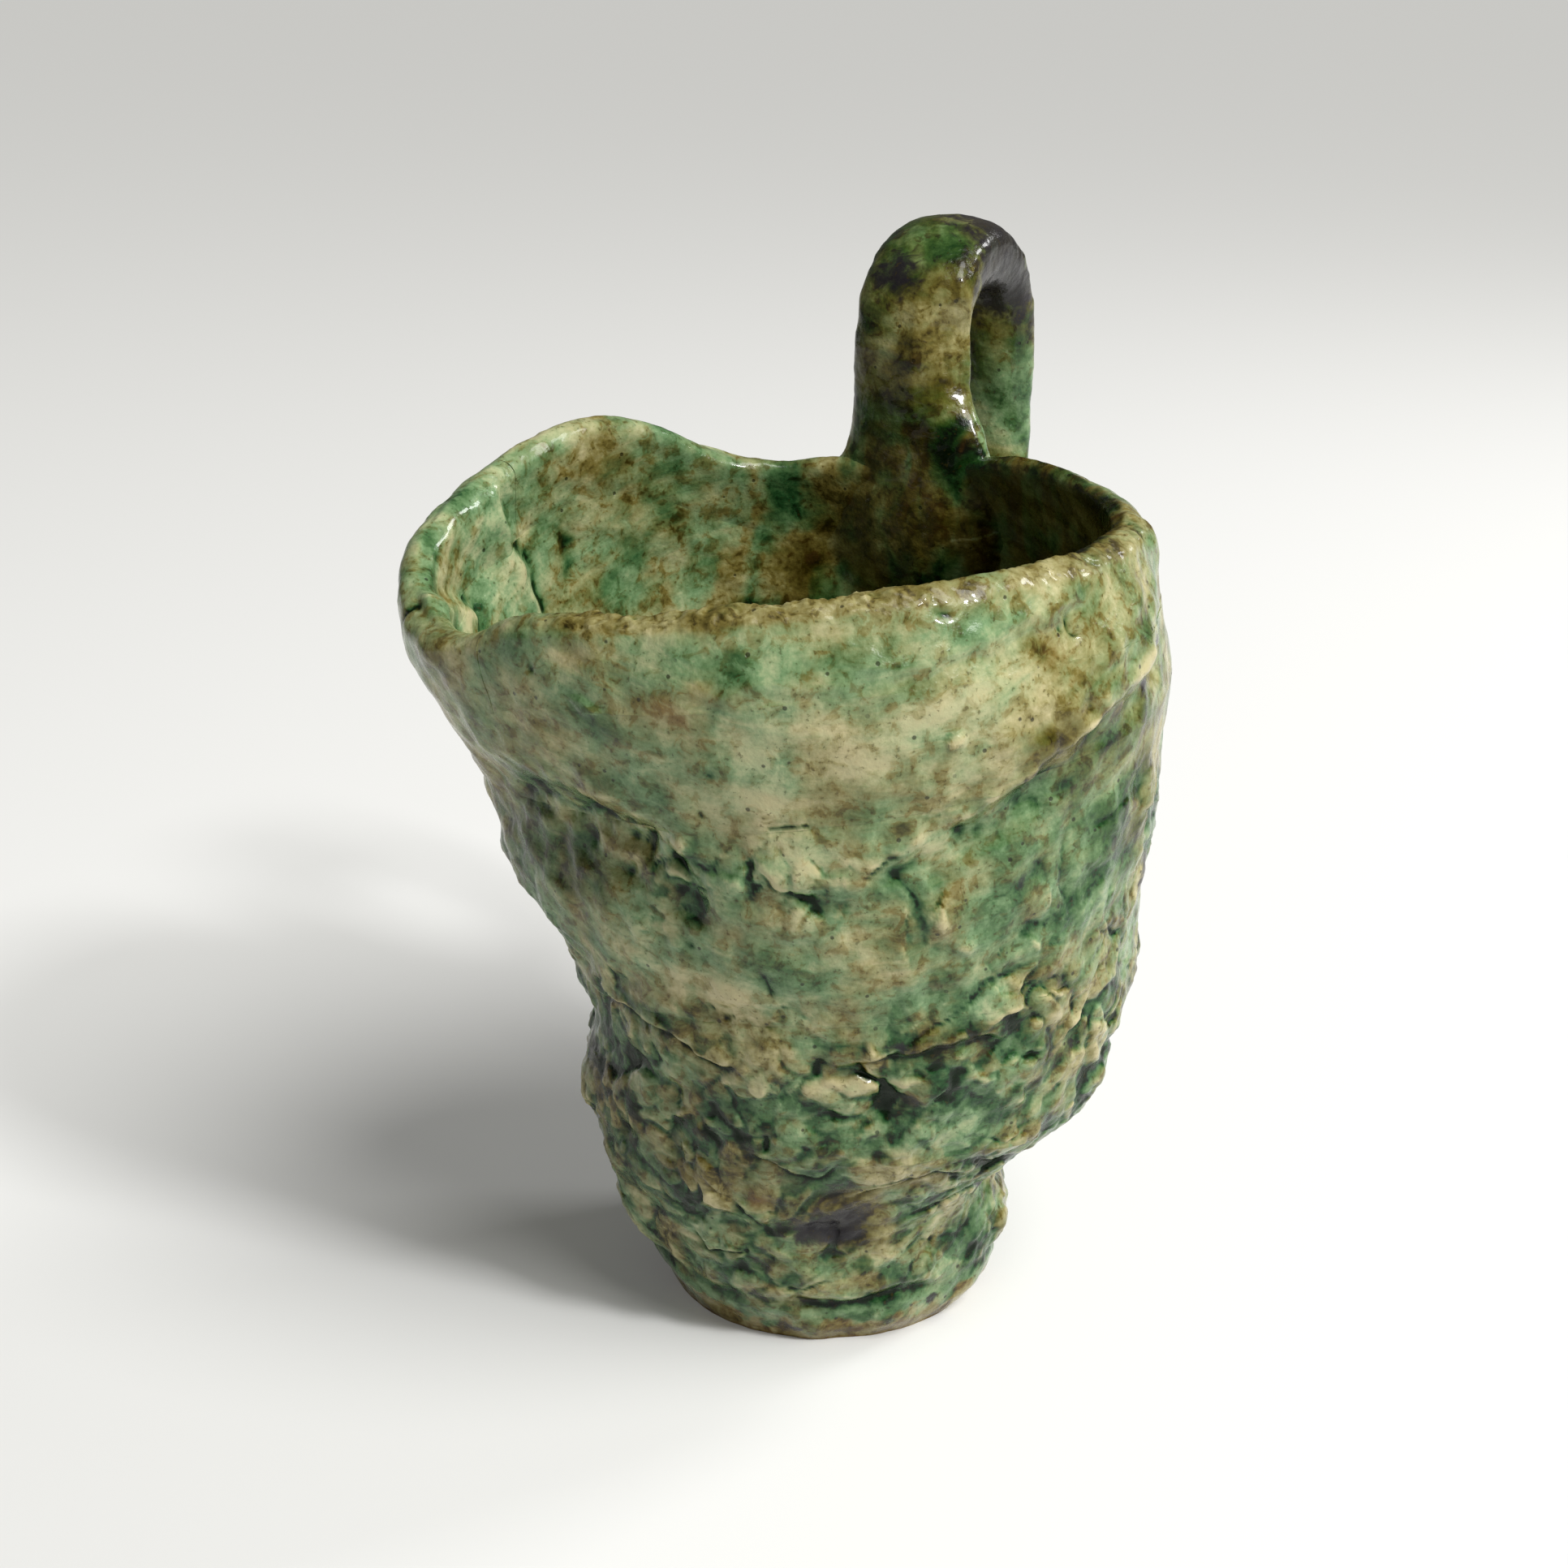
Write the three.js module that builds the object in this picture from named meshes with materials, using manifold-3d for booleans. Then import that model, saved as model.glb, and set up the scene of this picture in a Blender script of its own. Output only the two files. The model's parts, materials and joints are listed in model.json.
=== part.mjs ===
// A hand-built pottery pitcher, in millimetres, +Z up.
// The origin is the middle of the foot's underside, +X is to the right of the front, +Y goes to the back.
// The potter stacked courses of clay on a slab, set a rolled rim and a pouring lip on top, and luted
// a strap handle over the back of the rim. Each piece of clay is its own solid.
import * as THREE from "three";
import { mergeVertices } from "three/addons/utils/BufferGeometryUtils.js";
import Module from "manifold-3d";

const wasm = await Module();
wasm.setup();

// Driving dimensions

// Heights of the slab and of the courses that are stacked on it
const SLAB_THICKNESS = 14;
const FOOT_COURSE_HEIGHT = 35;
const LOWER_COURSE_HEIGHT = 41;
const BELLY_COURSE_HEIGHT = 52;
const SHOULDER_COURSE_HEIGHT = 25;
const RIM_COIL_HEIGHT = 18;

// Heights of the seams above the table, and of the rim
const LOWER_SEAM = SLAB_THICKNESS + FOOT_COURSE_HEIGHT;
const BELLY_SEAM = LOWER_SEAM + LOWER_COURSE_HEIGHT;
const SHOULDER_SEAM = BELLY_SEAM + BELLY_COURSE_HEIGHT;
const RIM_SEAM = SHOULDER_SEAM + SHOULDER_COURSE_HEIGHT;
const RIM_HEIGHT = RIM_SEAM + RIM_COIL_HEIGHT;

// Clay thickness, and the hair-wide joint that is left between two pieces
const WALL = 8.5;
const SEAM_GAP = 0.3;
const LUTE_GAP = 0.4;

// Ovals of the outer wall, from the foot up: each is set off along X as the pot leans
const FOOT_OVAL = { width: 73, depth: 68, lean: 0 };
const SLAB_OVAL = { width: 81, depth: 75, lean: 0 };
const SLAB_TOP_OVAL = { width: 85, depth: 79, lean: -1 };
const ANKLE_OVAL = { width: 92, depth: 86, lean: -3.5 };
const LOWER_OVAL = { width: 107, depth: 100, lean: 0 };
const HIP_OVAL = { width: 117.5, depth: 111, lean: 6 };
const BELLY_OVAL = { width: 129, depth: 121, lean: 5 };
const CHEST_OVAL = { width: 143.5, depth: 135, lean: 0.5 };
const SHOULDER_OVAL = { width: 153, depth: 143.5, lean: -1.5 };
const NECK_OVAL = { width: 156, depth: 147, lean: -3 };
const COLLAR_OVAL = { width: 154, depth: 146.5, lean: -6 };
const MOUTH_OVAL = { width: 148, depth: 141, lean: -8.5 };

// Outline of the outer wall: an oval at each seam, and one halfway up each course
const OUTLINE = [
  { height: 0, ...FOOT_OVAL },
  { height: SLAB_THICKNESS / 2, ...SLAB_OVAL },
  { height: SLAB_THICKNESS, ...SLAB_TOP_OVAL },
  { height: (SLAB_THICKNESS + LOWER_SEAM) / 2, ...ANKLE_OVAL },
  { height: LOWER_SEAM, ...LOWER_OVAL },
  { height: (LOWER_SEAM + BELLY_SEAM) / 2, ...HIP_OVAL },
  { height: BELLY_SEAM, ...BELLY_OVAL },
  { height: (BELLY_SEAM + SHOULDER_SEAM) / 2, ...CHEST_OVAL },
  { height: SHOULDER_SEAM, ...SHOULDER_OVAL },
  { height: (SHOULDER_SEAM + RIM_SEAM) / 2, ...NECK_OVAL },
  { height: RIM_SEAM, ...COLLAR_OVAL },
  { height: RIM_HEIGHT, ...MOUTH_OVAL },
];

// Each seam between courses climbs towards one side, by this much at the most
const LOWER_TILT = { climb: 8, towards: 290 };
const BELLY_TILT = { climb: 5, towards: 320 };
const SHOULDER_TILT = { climb: 11, towards: 10 };

// Uneven stretches of the rim's crest: how far each stands above RIM_HEIGHT, where, and over what arc
const CREST_WAVES = [
  { rise: 11, angle: 136, spread: 16 },
  { rise: 3.5, angle: 119, spread: 9 },
  { rise: -2, angle: 96, spread: 12 },
  { rise: 4, angle: 34, spread: 16 },
  { rise: 2, angle: 310, spread: 30 },
  { rise: -5, angle: 240, spread: 16 },
];

// Pouring lip on the left: pulled out by its reach, and folded down by its dip a little nearer the front
const LIP_ANGLE = 185;
const LIP_SPREAD = 21;
const LIP_REACH = 10;
const LIP_THROAT_HEIGHT = 58;
const LIP_DIP = 17;
const LIP_DIP_ANGLE = 202;
const LIP_DIP_SPREAD = 14;
const LIP_ARC = 62;

// Hollows and bulges that hands left in the wall: how far out each stands, and the arc and height it covers
const HAND_MARKS = [
  { out: -6, angle: 222, spread: 17, height: SHOULDER_SEAM - 8, tall: 11 },
  { out: 2, angle: 205, spread: 20, height: LOWER_SEAM + 11, tall: 15 },
  { out: -2, angle: 190, spread: 24, height: BELLY_SEAM - 6, tall: 8 },
  { out: 5, angle: 330, spread: 22, height: LOWER_SEAM + 5, tall: 10 },
  { out: -8, angle: 340, spread: 26, height: LOWER_SEAM - 11, tall: 7 },
  { out: 2, angle: 345, spread: 24, height: SLAB_THICKNESS + 11, tall: 6 },
  { out: 2.5, angle: 285, spread: 34, height: RIM_SEAM - 3, tall: 10 },
  { out: -2.5, angle: 290, spread: 40, height: SHOULDER_SEAM - 1, tall: 7 },
  { out: 2, angle: 194, spread: 14, height: RIM_SEAM - 6, tall: 8 },
  { out: 1.6, angle: 206, spread: 18, height: SHOULDER_SEAM + 1, tall: 7 },
  { out: 3.5, angle: 192, spread: 14, height: SHOULDER_SEAM - 30, tall: 10 },
  { out: 2.5, angle: 12, spread: 18, height: RIM_SEAM + 14, tall: 12 },
];

// Fingertip dabs of clay on the two lowest courses, in rows from the foot up: the height of a row, how many
// dabs it has round the pot, and how far they stand out of the wall
const DAB_ROWS = [
  { height: SLAB_THICKNESS + 9, count: 12, out: 2.6 },
  { height: LOWER_SEAM - 8, count: 13, out: 3.2 },
  { height: LOWER_SEAM + 11, count: 15, out: 3.4 },
  { height: BELLY_SEAM - 10, count: 16, out: 3 },
];
const DAB_SPREAD = 6.5;
// How unevenly the dabs are set: shares of a dab's step round the pot, of its spread and of its height
const DAB_SCATTER = { around: 0.5, along: 1, out: 0.7 };
// Share of a turn that spaces numbers evenly without repeating
const GOLDEN_SHARE = 0.618;

// Strap handle over the back of the rim
const HANDLE_RIM_ANGLE = 66.5;
const HANDLE_HEADING = 62;
const HANDLE_RISE = 54;
const HANDLE_REACH = 57;
const HANDLE_DROP = 48;
const STRAP_WIDTH = 27.5;
const STRAP_THICKNESS = 11;
const STRAP_ROOT_FLARE = 5;
// Below 1 the strap's section is squarer than an ellipse
const STRAP_ROUNDNESS = 0.8;
// The higher, the closer to its ends the strap flares
const STRAP_FLARE_POWER = 6;

// Pads of clay that were pressed over the handle's two joints: each stands out of the wall by its thickness
const UPPER_PAD = { width: 48, height: 40, thickness: 6, below: 16 };
const LOWER_PAD = { width: 46, height: 36, thickness: 8 };

// How finely curves are drawn
const AROUND = 48;
const ROW_HEIGHT = 8;
const DABBED_ROW_HEIGHT = 6;
const SLAB_ROWS = 4;
const CREST_STEPS = 4;
const ARCH_STEPS = 6;
const STRAP_STEPS = 26;
const STRAP_SIDES = 12;
const PAD_SIDES = 16;

// Glazed clay

const GLAZE_ROUGHNESS = 0.35;
const PALE_GLAZE = 0xa3ab84;
const GREEN_GLAZE = 0x6f8f6c;
const MOSS_GLAZE = 0x7c7f52;
const DARK_GLAZE = 0x4b4a35;

function glazed(colour) {
  return new THREE.MeshStandardMaterial({ color: colour, roughness: GLAZE_ROUGHNESS, metalness: 0 });
}

// Wall surface

const radians = THREE.MathUtils.degToRad;
const up = new THREE.Vector3(0, 0, 1);

// Turn from one angle to another, in degrees, between -180 and 180.
function turn(from, to) {
  return THREE.MathUtils.euclideanModulo(to - from + 180, 360) - 180;
}

// A smooth hump of height 1 at distance 0, which dies away past its spread.
function hump(distance, spread) {
  return Math.exp(-0.5 * (distance / spread) ** 2);
}

// One size of the outline at a height, on a smooth curve through the sections.
function outlineAt(key, height) {
  const last = OUTLINE.length - 2;
  const above = OUTLINE.findIndex((section) => section.height > height);
  const i = THREE.MathUtils.clamp(above < 0 ? last : above - 1, 0, last);
  const slope = (k) => {
    const a = OUTLINE[Math.max(k - 1, 0)];
    const b = OUTLINE[Math.min(k + 1, last + 1)];
    return (b[key] - a[key]) / (b.height - a.height);
  };
  const low = OUTLINE[i];
  const high = OUTLINE[i + 1];
  const span = high.height - low.height;
  const t = (height - low.height) / span;
  if (t > 1) return high[key] + slope(i + 1) * (height - high.height);
  const t2 = t * t;
  const t3 = t2 * t;
  return (
    (2 * t3 - 3 * t2 + 1) * low[key] +
    (t3 - 2 * t2 + t) * span * slope(i) +
    (3 * t2 - 2 * t3) * high[key] +
    (t3 - t2) * span * slope(i + 1)
  );
}

// Top of the rim at an angle.
function crest(angle) {
  const waves = CREST_WAVES.reduce((sum, w) => sum + w.rise * hump(turn(w.angle, angle), w.spread), 0);
  return RIM_HEIGHT + waves - LIP_DIP * hump(turn(LIP_DIP_ANGLE, angle), LIP_DIP_SPREAD);
}

// How far the wall stands out of its oval at an angle and a height.
function standOut(angle, height) {
  const marks = HAND_MARKS.reduce(
    (sum, m) => sum + m.out * hump(turn(m.angle, angle), m.spread) * hump(m.height - height, m.tall),
    0,
  );
  const throat = THREE.MathUtils.smoothstep(height, crest(angle) - LIP_THROAT_HEIGHT, crest(angle));
  return marks + LIP_REACH * hump(turn(LIP_ANGLE, angle), LIP_SPREAD) * throat;
}

// A point of the wall, inset from its outer face towards the middle.
function wallPoint(angle, height, inset) {
  const out = standOut(angle, height) - inset;
  const a = radians(angle);
  return new THREE.Vector3(
    outlineAt("lean", height) + (outlineAt("width", height) / 2 + out) * Math.cos(a),
    (outlineAt("depth", height) / 2 + out) * Math.sin(a),
    height,
  );
}

// A share from -0.5 to 0.5 that differs from one number to the next.
function scatter(number) {
  return THREE.MathUtils.euclideanModulo(number * GOLDEN_SHARE, 1) - 0.5;
}

// Every dab, with its place on the wall. Angle, height and rise are scattered by different numbers, so that
// they don't vary together.
const dabs = DAB_ROWS.flatMap((row, r) =>
  Array.from({ length: row.count }, (_, k) => ({
    angle: ((k + r / 2 + DAB_SCATTER.around * scatter(k + r)) * 360) / row.count,
    height: row.height + DAB_SCATTER.along * DAB_SPREAD * scatter(3 * k + r),
    out: row.out * (1 + DAB_SCATTER.out * scatter(2 * k + 5 * r)),
  })),
);

// How far the proudest dab stands out of the wall at an angle and a height.
function dabAt(angle, height) {
  return dabs.reduce((most, dab) => {
    const along = radians(turn(dab.angle, angle)) * (outlineAt("width", dab.height) / 2);
    return Math.max(most, dab.out * hump(along, DAB_SPREAD) * hump(height - dab.height, DAB_SPREAD));
  }, 0);
}

// A point of the outer face with its dabs, set out by a clearance.
function outerPoint(angle, height, clearance = 0) {
  return wallPoint(angle, height, -dabAt(angle, height) - clearance);
}

// The seams, each as a height for every angle

function tilted(level, tilt) {
  return (angle) => level + tilt.climb * Math.cos(radians(angle - tilt.towards));
}

const slabSeam = () => SLAB_THICKNESS;
const lowerSeam = tilted(LOWER_SEAM, LOWER_TILT);
const bellySeam = tilted(BELLY_SEAM, BELLY_TILT);
const shoulderSeam = tilted(SHOULDER_SEAM, SHOULDER_TILT);
const rimSeam = (angle) => crest(angle) - RIM_COIL_HEIGHT;

// Solids

// A closed solid through a row of loops that have as many points each. A ring joins its last loop to its
// first; otherwise both ends are closed across the loop, from each point to the one opposite.
function loft(loops, ring = false) {
  const n = loops[0].length;
  const positions = loops.flat().flatMap((p) => p.toArray());
  const triangles = [];
  const steps = ring ? loops.length : loops.length - 1;
  for (let i = 0; i < steps; i++) {
    const here = i * n;
    const next = ((i + 1) % loops.length) * n;
    for (let k = 0; k < n; k++) {
      const after = (k + 1) % n;
      triangles.push(here + k, here + after, next + after, here + k, next + after, next + k);
    }
  }
  if (!ring) {
    const end = (loops.length - 1) * n;
    for (let k = 0; 2 * k < n - 2; k++) {
      const opposite = n - 1 - k;
      triangles.push(k, opposite, k + 1, end + k, end + k + 1, end + opposite);
      if (opposite - 1 > k + 1) {
        triangles.push(opposite, opposite - 1, k + 1, end + opposite, end + k + 1, end + opposite - 1);
      }
    }
  }
  const geometry = new THREE.BufferGeometry();
  geometry.setAttribute("position", new THREE.Float32BufferAttribute(positions, 3));
  geometry.setIndex(triangles);
  return geometry;
}

// The upright section of a wall at an angle, as a loop: up the inside and down the outside.
function wallSection(angle, low, high, rows, clearance = 0) {
  const heights = Array.from({ length: rows + 1 }, (_, k) => THREE.MathUtils.lerp(low, high, k / rows));
  const outside = heights.map((h) => outerPoint(angle, h, clearance));
  const inside = heights.map((h) => wallPoint(angle, h, WALL + clearance));
  return [...inside, ...outside.reverse()];
}

// As wallSection, but the top is rounded over from the inside to the outside.
function crestSection(angle, low, rows, clearance = 0) {
  const radius = WALL / 2 + clearance;
  const shoulder = crest(angle) + clearance - radius;
  const sides = wallSection(angle, low, shoulder, rows, clearance);
  const roll = Array.from({ length: 2 * CREST_STEPS - 1 }, (_, k) => {
    const a = (Math.PI * (k + 1)) / (2 * CREST_STEPS);
    return wallPoint(angle, shoulder + radius * Math.sin(a), WALL / 2 + radius * Math.cos(a));
  });
  const middle = sides.length / 2;
  return [...sides.slice(0, middle), ...roll, ...sides.slice(middle)];
}

// The angles of the sections round the pot: every piece of wall has the same ones, so their seams stay even.
const stepAngle = 360 / AROUND;
const fullTurn = Array.from({ length: AROUND }, (_, i) => i * stepAngle);

// The angles of a stretch of wall: its two ends, and the sections between them.
function anglesAcross(from, to) {
  const first = Math.floor(from / stepAngle) + 1;
  const last = Math.ceil(to / stepAngle) - 1;
  const between = Array.from({ length: last - first + 1 }, (_, i) => (first + i) * stepAngle);
  return [from, ...between, to];
}

function rowsFor(height, rowHeight = ROW_HEIGHT) {
  return Math.max(2, Math.round(height / rowHeight));
}

// A whole course of wall between two seams.
function course(lowSeam, highSeam, rowHeight = ROW_HEIGHT) {
  const rows = rowsFor(highSeam(0) - lowSeam(0), rowHeight);
  const section = (angle) =>
    wallSection(angle, lowSeam(angle) + SEAM_GAP / 2, highSeam(angle) - SEAM_GAP / 2, rows);
  return loft(fullTurn.map(section), true);
}

// A stretch of the rolled rim, from one angle to another.
function rimStretch(from, to) {
  const rows = rowsFor(RIM_COIL_HEIGHT);
  const section = (angle) => crestSection(angle, rimSeam(angle) + SEAM_GAP / 2, rows);
  return loft(anglesAcross(from, to).map(section));
}

// The slab that the pot was built on, which is its floor and its foot.
function slab() {
  const top = SLAB_THICKNESS - SEAM_GAP / 2;
  const ringAt = (height) => fullTurn.map((angle) => outerPoint(angle, height));
  return loft(Array.from({ length: SLAB_ROWS + 1 }, (_, k) => ringAt((top * k) / SLAB_ROWS)));
}

// A closed geometry as a solid that can be cut.
function toSolid(geometry) {
  const bare = geometry.clone();
  bare.deleteAttribute("normal");
  bare.deleteAttribute("uv");
  const merged = mergeVertices(bare);
  return new wasm.Manifold(
    new wasm.Mesh({
      numProp: 3,
      vertProperties: merged.attributes.position.array,
      triVerts: new Uint32Array(merged.index.array),
    }),
  );
}

// A cut solid as a geometry.
function toGeometry(solid) {
  const mesh = solid.getMesh();
  const geometry = new THREE.BufferGeometry();
  geometry.setAttribute("position", new THREE.BufferAttribute(mesh.vertProperties, 3));
  geometry.setIndex(new THREE.BufferAttribute(mesh.triVerts, 1));
  return geometry;
}

// The whole wall from slab to crest, grown by the gap that a luted joint keeps.
function wallWithClearance() {
  const rows = rowsFor(RIM_HEIGHT) * 2;
  return toSolid(loft(fullTurn.map((angle) => crestSection(angle, SLAB_THICKNESS, rows, LUTE_GAP)), true));
}

// Handle

const heading = new THREE.Vector3(Math.cos(radians(HANDLE_HEADING)), Math.sin(radians(HANDLE_HEADING)), 0);
const across = new THREE.Vector3().crossVectors(up, heading);
const handleRoot = wallPoint(HANDLE_RIM_ANGLE, crest(HANDLE_RIM_ANGLE), WALL / 2);
const handleEndHeight = crest(HANDLE_RIM_ANGLE) - HANDLE_DROP;
const handleEnd = wallPoint(HANDLE_RIM_ANGLE, handleEndHeight, WALL / 2);

// Middle line of the strap: up the front arm, over the arch, down the rear arm and into the wall.
function handlePath() {
  const half = (HANDLE_REACH - STRAP_THICKNESS) / 2;
  const archHeight = HANDLE_RISE - STRAP_THICKNESS / 2;
  const shoulder = archHeight - half;
  const at = (out, rise) => handleRoot.clone().addScaledVector(heading, out).addScaledVector(up, rise);
  const arch = Array.from({ length: ARCH_STEPS + 1 }, (_, k) => {
    const a = (Math.PI * k) / ARCH_STEPS;
    return at(half - half * Math.cos(a), shoulder + half * Math.sin(a));
  });
  const elbow = at(2 * half, (shoulder - HANDLE_DROP) / 2);
  const wrist = handleEnd.clone().addScaledVector(heading, half).addScaledVector(up, STRAP_THICKNESS / 2);
  return new THREE.CatmullRomCurve3([at(0, -WALL / 2), ...arch, elbow, wrist, handleEnd]);
}

// The strap as a solid, grown all round by a clearance.
function strap(clearance = 0) {
  const path = handlePath();
  const loops = Array.from({ length: STRAP_STEPS + 1 }, (_, i) => {
    const t = i / STRAP_STEPS;
    const centre = path.getPointAt(t);
    const outward = new THREE.Vector3().crossVectors(path.getTangentAt(t), across).normalize();
    const flare = STRAP_ROOT_FLARE * Math.abs(2 * t - 1) ** STRAP_FLARE_POWER;
    const halfWidth = (STRAP_WIDTH + flare) / 2 + clearance;
    const halfThickness = STRAP_THICKNESS / 2 + clearance;
    return Array.from({ length: STRAP_SIDES }, (_, k) => {
      const a = (2 * Math.PI * (k + 0.5)) / STRAP_SIDES;
      const side = Math.sign(Math.cos(a)) * Math.abs(Math.cos(a)) ** STRAP_ROUNDNESS;
      return centre
        .clone()
        .addScaledVector(across, halfWidth * side)
        .addScaledVector(outward, halfThickness * Math.sin(a));
    });
  });
  return toSolid(loft(loops));
}

// A flattened lump of clay against the wall, facing along the handle.
function lump(size, centre) {
  const ball = new THREE.SphereGeometry(0.5, PAD_SIDES, PAD_SIDES / 2);
  ball.applyMatrix4(
    new THREE.Matrix4()
      .makeBasis(heading, across, up)
      .scale(new THREE.Vector3(size.thickness * 2, size.width, size.height))
      .setPosition(centre),
  );
  return toSolid(ball);
}

const grownWall = wallWithClearance();
const grownStrap = strap(LUTE_GAP);
const upperPadHeight = crest(HANDLE_RIM_ANGLE) - UPPER_PAD.below;
const upperPadCentre = wallPoint(HANDLE_RIM_ANGLE, upperPadHeight, WALL);
const lowerPadCentre = wallPoint(HANDLE_RIM_ANGLE, handleEndHeight, 0);

const strapSolid = strap().subtract(grownWall);
const upperPadSolid = lump(UPPER_PAD, upperPadCentre).subtract(grownWall).subtract(grownStrap);
const lowerPadSolid = lump(LOWER_PAD, lowerPadCentre).subtract(grownWall).subtract(grownStrap);

// The largest of the bodies that a cut leaves, as a geometry.
function mainBody(solid) {
  const bodies = solid.decompose().sort((a, b) => b.volume() - a.volume());
  return toGeometry(bodies[0]);
}

// Assembly

const lipFrom = LIP_ANGLE - LIP_ARC / 2;
const lipTo = LIP_ANGLE + LIP_ARC / 2;
const jointTurn = THREE.MathUtils.radToDeg(SEAM_GAP / (MOUTH_OVAL.width / 2));

const pieces = [
  ["foot_slab", slab(), MOSS_GLAZE],
  ["foot_course", course(slabSeam, lowerSeam, DABBED_ROW_HEIGHT), GREEN_GLAZE],
  ["lower_course", course(lowerSeam, bellySeam, DABBED_ROW_HEIGHT), GREEN_GLAZE],
  ["belly_course", course(bellySeam, shoulderSeam), PALE_GLAZE],
  ["shoulder_course", course(shoulderSeam, rimSeam), PALE_GLAZE],
  ["rim_coil", rimStretch(lipTo + jointTurn, lipFrom + 360), MOSS_GLAZE],
  ["pouring_lip", rimStretch(lipFrom + jointTurn, lipTo), GREEN_GLAZE],
  ["handle_strap", mainBody(strapSolid), DARK_GLAZE],
  ["handle_upper_pad", mainBody(upperPadSolid), MOSS_GLAZE],
  ["handle_lower_pad", mainBody(lowerPadSolid), MOSS_GLAZE],
];

const pitcher = new THREE.Group();
for (const [name, geometry, colour] of pieces) {
  const piece = new THREE.Mesh(geometry, glazed(colour));
  piece.name = name;
  pitcher.add(piece);
}

export default pitcher;
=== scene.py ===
"""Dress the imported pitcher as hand-built clay under a mottled copper-green glaze.

Meshes are in metres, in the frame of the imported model. Sizes of clay marks are in millimetres. A place on
the wall is an angle about the foot's axis, in degrees anticlockwise from +X, and a height above the table.
"""

import itertools
import json
import logging
import math
from contextlib import contextmanager
from dataclasses import dataclass
from enum import Enum
from typing import Any, Iterator, Sequence

import bpy
import numpy as np
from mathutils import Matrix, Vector
from mathutils.bvhtree import BVHTree

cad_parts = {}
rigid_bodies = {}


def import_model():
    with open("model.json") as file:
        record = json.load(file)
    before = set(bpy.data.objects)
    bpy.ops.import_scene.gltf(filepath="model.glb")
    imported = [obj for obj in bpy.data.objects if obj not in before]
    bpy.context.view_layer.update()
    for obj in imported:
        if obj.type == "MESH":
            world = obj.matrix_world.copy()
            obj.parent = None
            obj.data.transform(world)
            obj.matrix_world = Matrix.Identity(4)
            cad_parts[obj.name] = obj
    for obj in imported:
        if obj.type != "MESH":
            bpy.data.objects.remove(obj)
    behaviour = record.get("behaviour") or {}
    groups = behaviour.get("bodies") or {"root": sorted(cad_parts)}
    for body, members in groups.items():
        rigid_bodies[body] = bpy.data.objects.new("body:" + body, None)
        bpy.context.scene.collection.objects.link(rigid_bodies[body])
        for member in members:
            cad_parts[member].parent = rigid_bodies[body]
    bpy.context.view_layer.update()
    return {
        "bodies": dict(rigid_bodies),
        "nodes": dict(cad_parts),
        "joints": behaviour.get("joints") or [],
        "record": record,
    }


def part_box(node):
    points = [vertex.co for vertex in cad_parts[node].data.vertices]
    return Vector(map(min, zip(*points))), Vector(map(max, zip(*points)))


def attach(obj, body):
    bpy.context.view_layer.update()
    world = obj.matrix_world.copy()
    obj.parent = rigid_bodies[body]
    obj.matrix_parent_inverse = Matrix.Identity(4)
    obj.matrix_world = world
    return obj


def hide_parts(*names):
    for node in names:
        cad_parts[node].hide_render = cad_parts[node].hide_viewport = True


log = logging.getLogger("pitcher")

MM = 0.001
SEED = 41
BODY = "root"
BAKE_MAP = "OFBake"
DEPTH = "wall_depth"
ISLAND_BEND = 66.0
ISLAND_MARGIN = 0.004

# Heights of the seams that the handle is smeared over, in millimetres
SEAM_HEIGHTS = (142.0, 167.0)

# Mean radius of the wall by height, which turns an angle into a length along the wall
GIRTH_HEIGHTS = (0.0, 14.0, 49.0, 90.0, 142.0, 185.0)
GIRTH_RADII = (37.0, 41.0, 54.0, 63.0, 75.0, 73.0)

Place = tuple[float, float]
Spatial = tuple[float, float, float]

# How far noise is drawn out round the pot, and how much it sags towards the front
DRAWN_OUT = 0.22
DRAWN_SAG = 0.55

# Keeps a division from running into 0
TINY = 1e-6


def girth(height: float) -> float:
    """The wall's mean radius at a height, in millimetres."""
    return float(np.interp(height, GIRTH_HEIGHTS, GIRTH_RADII))


def ease(low: float, high: float, value: np.ndarray) -> np.ndarray:
    """A soft step from 0 at low to 1 at high.

    Args:
        low: Value where the step starts.
        high: Value where the step ends; it may be below low.
        value: The values to step.

    Returns:
        A share from 0 to 1 for each value.
    """
    t = np.clip((value - low) / (high - low), 0.0, 1.0)
    return t * t * (3.0 - 2.0 * t)


def averaged(values: np.ndarray, pairs: np.ndarray, rounds: int) -> np.ndarray:
    """Values at vertices, averaged with their neighbours' values again and again.

    Args:
        values: One value per vertex.
        pairs: The two vertices of each edge.
        rounds: How many times.

    Returns:
        The averaged values.
    """
    size = len(values)
    first, second = pairs[:, 0], pairs[:, 1]
    number = np.maximum(np.bincount(pairs.ravel(), minlength=size), 1)
    for _ in range(rounds):
        total = np.bincount(first, values[second], size) + np.bincount(second, values[first], size)
        values = 0.5 * (values + total / number)
    return values


class Side(Enum):
    """Which face of the wall a mark is on."""

    OUTSIDE = "outside"
    INSIDE = "inside"


class Tone(Enum):
    """What the glaze shows at a place, and in places painted shade; each value is the name of a vertex
    attribute.
    """

    # Glaze gathered in the hollows; under overhanging clay also painted shade
    POOL = "pool"
    COPPER = "copper"
    CREAM = "cream"
    IRON = "iron"
    SLATE = "slate"
    # Thick dark glaze; on the inner face, the pot's floor and the flanks also painted shade
    OLIVE = "olive"
    GRIT = "grit"


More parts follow.
